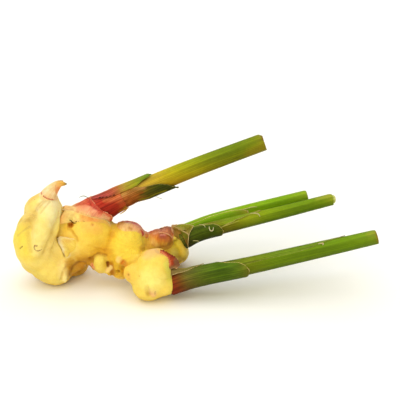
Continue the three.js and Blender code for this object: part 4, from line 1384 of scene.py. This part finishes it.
# The dry skin between the rear knob and its stems is stretched in two flat panels, over one
# straight fold.
FOLD = [(-19.2, 35, 32.1), (-15.3, 32.4, 32.7), (-12.3, 29.4, 32.4), (-7.4, 24.8, 31.7)]
tent_ground = ground_of(root_body, middle_outer, rear_leaf)
rear_skin = scale_leaf(
    "rear_knob_skin",
    [(-18.4, 30, 30.2), (-15.8, 27.6, 27.8), (-12.5, 26.4, 26.2), (-9.4, 24.8, 23.6), (-8.6, 25.2, 21.4)],
    [*FOLD, (-7.9, 23.4, 27.6), (-8.3, 24, 23.6)], 52, 24, 0.3,
    [(0, "b08840"), (0.2, "a08438"), (0.5, "847c28"), (0.8, "84782c"), (1, "a48c50")],
    25.0, ragged=0.1, curl=0.1, rim_width=0.45, ground=tent_ground, facing=FRONT, stands=1.0,
)
wash(rear_skin, [
    ("6c7820", 5.0, 0.8, [(-12.6, 28.4, 30.6), (-9.6, 26.2, 29.4)]),
    ("bc9050", 3.0, 0.8, [(-16.6, 31, 31), (-15, 29, 30)]),
    ("e0a47c", 1.8, 1.4, [(-18.8, 33, 31.6), (-18.2, 31, 30.4), (-17, 29, 28.8)]),
    ("b88038", 2.2, 1.0, [(-12.6, 26.6, 27), (-9.6, 25, 24.6), (-9.0, 25, 22.4)]),
    ("8c6a38", 1.6, 0.8, [(-8.6, 24.4, 28), (-8.8, 24.6, 24)]),
])
present(rear_skin, MEMBRANE, "membrane", "rear_knob_membrane")
upper_skin = scale_leaf(
    "rear_knob_upper_skin", [(x, y + 0.1, z + 0.2) for x, y, z in FOLD],
    [(-18.9, 38, 31.2), (-13, 36.5, 32.8), (-8.4, 33, 34.8), (-3.9, 28.4, 36.7)], 48, 20, 0.1,
    [(0, "b09c5c"), (0.25, "a4984c"), (0.6, "949434"), (1, "94a02c")],
    29.0, ragged=0.2, curl=0.1, rim_width=0.4, ground=ground_of(rear_skin, rear_sheath, middle_outer),
    facing=FRONT, stands=1.0,
)
wash(upper_skin, [("d0a070", 2.6, 1.0, [(-19, 36.5, 31.6), (-17, 35.5, 32)])])
present(upper_skin, MEMBRANE, "membrane")

front_leaf = scale_leaf(
    "front_knob_leaf",
    [(-25.4, 3.8, 32.0), (-22.8, 2.6, 30.6), (-20.6, 1.4, 28.8), (-19.4, -0.2, 26.8), (-19.0, -1.4, 24.8),
     (-18.4, -2.2, 22.6)],
    [(-25.8, 5.2, 32.8), (-22.8, 5.6, 31.0), (-19.5, 5.8, 28.1), (-16.9, 5.5, 27), (-15.0, 5, 25),
     (-13.8, 4.6, 22.8), (-13.0, 4.2, 20.8)],
    56, 18, 0.4,
    [(0, "d0703c"), (0.2, "c0542c"), (0.45, "b04420"), (0.7, "963c1c"), (0.9, "843018"), (1, "742814")],
    26.0, ragged=0.5, streaks=0.2, curl=0.3, rim_width=0.01, stands=1.0, fray=1.3,
    ground=ground_of(root_body, front_outer),
)
wash(front_leaf, [
    ("e4906c", 1.4, 0.8, [(-24.6, 3.6, 31.6), (-21.8, 2.2, 29.8), (-19.8, 0.6, 27.8), (-19.2, -0.8, 25.6)]),
    ("7e5c40", 4.0, 1.3, [(-14.6, 4.4, 24.0), (-13.4, 4, 20.8)]),
    ("8c7048", 2.6, 1.2, [(-18.4, -1.5, 21.8), (-16.4, 0, 21.2), (-14.4, 1, 20.6)]),
])
present(front_leaf, PINK_SCALE, "pink_scale", "front_knob_scale")

torn_flap = scale_leaf(
    "torn_flap",
    [(-81, 11.3, 36.8), (-80, 10.8, 34.4), (-80.6, 10.8, 30.8), (-83.2, 12, 26.6), (-86.8, 12.8, 22.4)],
    [(-81, 11.6, 37.4), (-84, 12.9, 37), (-89, 15.8, 36.2), (-92.4, 17.2, 34.6), (-90.8, 13.8, 31.4),
     (-89.3, 12.4, 28), (-88, 12.8, 23.4)],
    48, 18, 0.4,
    [(0, "f6cc50"), (0.4, "f8d468"), (0.75, "fadc88"), (1, "fbe6a8")],
    27.0, ragged=0.3, curl=0.5, rim_width=0.15,
)
wash(torn_flap, [
    # Painted shade: an orange shade under the flap's upper strip.
    ("f0b654", 1.7, 0.45, [(-87.6, 14, 34.6), (-84, 12.5, 34.8)]),
    ("fdf0cc", 2.6, 0.9, [(-91.4, 15.6, 33.6), (-90.2, 13.6, 31.2), (-89.4, 12.6, 29)]),
])
present(torn_flap, PALE_SCALE, "pale_scale", "torn_scale")

# The hooked bud on the left knob, and the scale wrapped round it.
# The bud's radius and its colour at each distance along it.
BUD_PROFILE = [(0, 7.0), (3, 6.0), (6, 4.9), (9.2, 3.9), (12.5, 3.0), (15, 2.3), (17.5, 1.5), (19.6, 0.6),
               (20.4, 0.0)]
BUD_COLOURS = [(0, "f8dc98"), (4, "f8dca0"), (6, "f8d8b0"), (7.5, "fbecc8"), (10, "fbeac4"), (13, "f8d4a0"),
               (16, "f0bc68"), (18, "d8a444"), (20, "6c5a1c")]


def hooked_bud():
    """The bud's own body: its profile turned round an axis that hooks over at the tip."""
    piece, across, along = flat_sheet("left_bud", columns=48, rows=44)
    distance = along * BUD_PROFILE[-1][0]
    degrees = across * 360
    radius = eased(BUD_PROFILE, distance)[:, 0] * (1 + 0.05 * np.cos(2 * np.radians(degrees - 20)))
    radius = radius * (1 + 0.03 * np.cos(7 * np.radians(degrees) + distance / 5))
    move_points(piece, bud.at(distance, degrees, radius))
    prime(piece, eased([(d, *linear(c)) for d, c in BUD_COLOURS], distance))
    tidy_mesh(piece, merge=0.02)
    close_ends(piece)
    wash(piece, [("e88850", 3.0, 0.9, bud.line([(7.5, 125), (11, 125), (13.5, 125)], 3.2))])
    stain(piece, [("rust", 1.2, 0.8, [bud.at(20.2, 0, 0.2)])])
    return piece


left_bud = hooked_bud()
present(left_bud, PALE_SCALE, "pale_scale", "left_bud_scale")
bud_wrap = sheath(
    "left_bud_wrap", "bud", 0.25,
    [(4.6, -170, 165), (8, -160, 150), (11, -150, 110), (13.5, -140, 60), (16, -110, 10), (17.6, -60, -40)],
    [(4.6, "f0b088", "f0b088"), (6, "fcd8a4", "f8cc98"), (9, "fde0ac", "fbd09c"), (13, "fad498", "f4b474"),
     (17.6, "e0b058", "d8a050")],
    31.0, ragged=0.15, lift=0.12, rim=0.4, edge=0.3, wall=0.25,
    swell=lambda distance, degrees: eased(BUD_PROFILE, distance)[:, 0] - bud.radius(distance),
)
stain(bud_wrap, [
    ("blush", 1.3, 1.0, bud.line([(4.9, -10), (4.9, 20), (4.9, 50), (4.9, 75), (4.9, 100), (4.9, 120)], 5.8)),
    ("rust", 0.9, 0.9, [bud.at(5.0, -25, 5.9)]),
    ("rust", 0.7, 0.8, [bud.at(15.5, -20, 2.2)]),
])
present(bud_wrap, PALE_SCALE, "pale_scale")

# ---- loose fibres ---------------------------------------------------------------------------


def strand_of(name, thick, tint, path):
    """A loose strand, thickest in its middle and fine at both ends."""
    curve = bpy.data.curves.new(name, "CURVE")
    curve.dimensions = "3D"
    curve.bevel_depth = thick * MM / 2
    curve.bevel_resolution = 2
    curve.use_fill_caps = True
    line = curve.splines.new("NURBS")
    line.points.add(len(path) - 1)
    for i, (point, place) in enumerate(zip(line.points, path)):
        point.co = (*((np.array(place) + FROM_LAYOUT) * MM), 1.0)
        point.radius = 0.35 + 0.65 * math.sin(math.pi * (i + 0.3) / (len(path) - 0.4))
    line.order_u = 3
    line.use_endpoint_u = True
    strand = bpy.data.objects.new(name, curve)
    bpy.context.scene.collection.objects.link(strand)
    hold(strand)
    bpy.ops.object.convert(target="MESH")
    strand = bpy.context.object
    tidy_mesh(strand, merge=0.002)
    prime(strand, linear(tint))
    present(strand, MEMBRANE, "membrane")


# Five short hairs cross the margin of the outer sheath.
HAIR_ROOTS = [(8, 15, 9.5), (10, 20, 9.2), (12.2, 26, 8.9), (14.6, 30, 8.7), (17, 33, 8.6)]
margin_hairs = [
    (f"margin_hair_{i}", 0.8, "502810",
     upper.line([(d - 0.7, g + 1, r), (d, g - 4, r + 0.2), (d + 0.8, g + 2, r)]))
    for i, (d, g, r) in enumerate(HAIR_ROOTS)
]
for strand in [
    ("hole_thread", 0.7, "5c3a10",
     [(-84.8, 18.2, 47.2), (-83.4, 17.2, 47.8), (-82.4, 16.6, 46.6), (-81.2, 16.6, 45.6),
      (-79.8, 16.2, 46.2)]),
    ("base_fray_low", 0.8, "cc9c30",
     upper.line([(14, 132, 9.0), (16.4, 128, 9.2), (19, 124, 9.0), (21.4, 118, 8.4)])),
    ("base_fray_high", 0.6, "c89440", upper.line([(16.4, 118, 9.0), (18.6, 112, 9.0), (20.8, 112, 8.6)])),
    *margin_hairs,
    ("middle_ridge", 0.6, "b4b850",
     middle.line([(30.4, 60, 5.6), (34, 54, 5.6), (38, 50, 5.5), (42.5, 45, 5.3)])),
    ("collar_thread", 0.5, "5c7050",
     [(-78.5, 30, 57), (-77, 30, 58.2), (-75, 30, 58.4), (-73, 30, 57.2), (-72, 30.5, 55.8)]),
    ("middle_curl", 0.8, "e8e4c0",
     middle.line([(22.5, 40), (22.2, 55), (23, 66), (24.5, 64), (25, 50)], 7.4)),
    ("middle_fork", 0.6, "c8c48c", middle.line([(10, 84), (11.5, 90), (13, 98), (13.4, 108)], 7.0)),
    ("middle_thread", 0.5, "d4d0a0", middle.line([(17, 6), (19, 16), (20.2, 30), (20, 38)], 7.0)),
    ("tip_thread_low", 0.8, "dcd8a4",
     middle.line([(51, 8, 5.4), (54, 20, 6), (56, 34, 6.4), (56.4, 52, 6)])),
    ("tip_thread_high", 0.7, "d0cc8c",
     rear.line([(44, 44, 5), (48, 46, 5.4), (52, 44, 5.8), (55, 52, 5)])),
    ("upper_thread", 0.3, "8c9070",
     upper.line([(40, 150, 7), (41, 152, 9), (43, 150, 10.5), (44, 146, 11.5)])),
    ("front_notch", 0.8, "d8c8a0",
     front.line([(103, 12, 5.8), (105.5, 16, 6.2), (106.5, 24, 6.3), (105.5, 30, 6)])),
]:
    strand_of(*strand)

# ---- table, light and camera ----------------------------------------------------------------

TABLE_WIDTH = 6.0  # in metres, as the lamps' places and sizes are
CAMERA_TILT = math.radians(30)
CAMERA_REACH = 0.86667
AIM = (np.array((0.0, 30.0, 55.3)) + FROM_LAYOUT) * MM

bpy.ops.object.select_all(action="DESELECT")
bpy.ops.mesh.primitive_grid_add(x_subdivisions=8, y_subdivisions=8, size=TABLE_WIDTH, location=(0, 0, 0))
table = bpy.context.object
table.name = "table"
paper = bpy.data.materials.new("white_paper")
paper.use_nodes = True
for socket, value in (("Base Color", (0.96, 0.96, 0.96, 1)), ("Roughness", 0.9), ("Specular IOR Level", 0.1)):
    paper.node_tree.nodes["Principled BSDF"].inputs[socket].default_value = value
table.data.materials.append(paper)

scene = bpy.context.scene
scene.view_settings.view_transform = "Standard"
# The studio is pale round the table and dimmer and warmer overhead.
world = bpy.data.worlds.new("studio")
world.use_nodes = True
studio = Graph(world.node_tree)
way = studio.add("ShaderNodeTexCoord").outputs["Generated"]
height = studio.add("ShaderNodeSeparateXYZ", {0: way}).outputs["Z"]
backdrop = world.node_tree.nodes["Background"]
overhead = studio.spread(height, 0.1, 0.45)
studio.feed(backdrop.inputs["Color"], studio.blend(overhead, (0.95, 0.95, 0.93, 1), (1.0, 0.9, 0.66, 1)))
studio.feed(backdrop.inputs["Strength"], studio.spread(height, 0.1, 0.45, 0.9, 0.14))
scene.world = world


def softbox(name, place, size, power, colour):
    """A square lamp that faces the middle of the root."""
    lamp = bpy.data.lights.new(name, "AREA")
    lamp.size, lamp.energy, lamp.color = size, power, colour
    stand = bpy.data.objects.new(name, lamp)
    stand.location = place
    stand.rotation_euler = (Vector((0, 0, 0.03)) - Vector(place)).to_track_quat("-Z", "Y").to_euler()
    scene.collection.objects.link(stand)


softbox("overhead_lamp", (-0.15, 0.6, 2.7), 4.6, 120.0, (0.98, 0.99, 1.0))
softbox("front_lamp", (-0.9, -2.4, 2.1), 2.7, 55.0, (1.0, 0.9, 0.58))

lens = bpy.data.cameras.new("camera")
lens.lens, lens.sensor_width = 120, 36
camera = bpy.data.objects.new("camera", lens)
camera.location = AIM + CAMERA_REACH * np.array((0, -math.cos(CAMERA_TILT), math.sin(CAMERA_TILT)))
camera.rotation_euler = (math.pi / 2 - CAMERA_TILT, 0, 0)
scene.collection.objects.link(camera)
scene.camera = camera
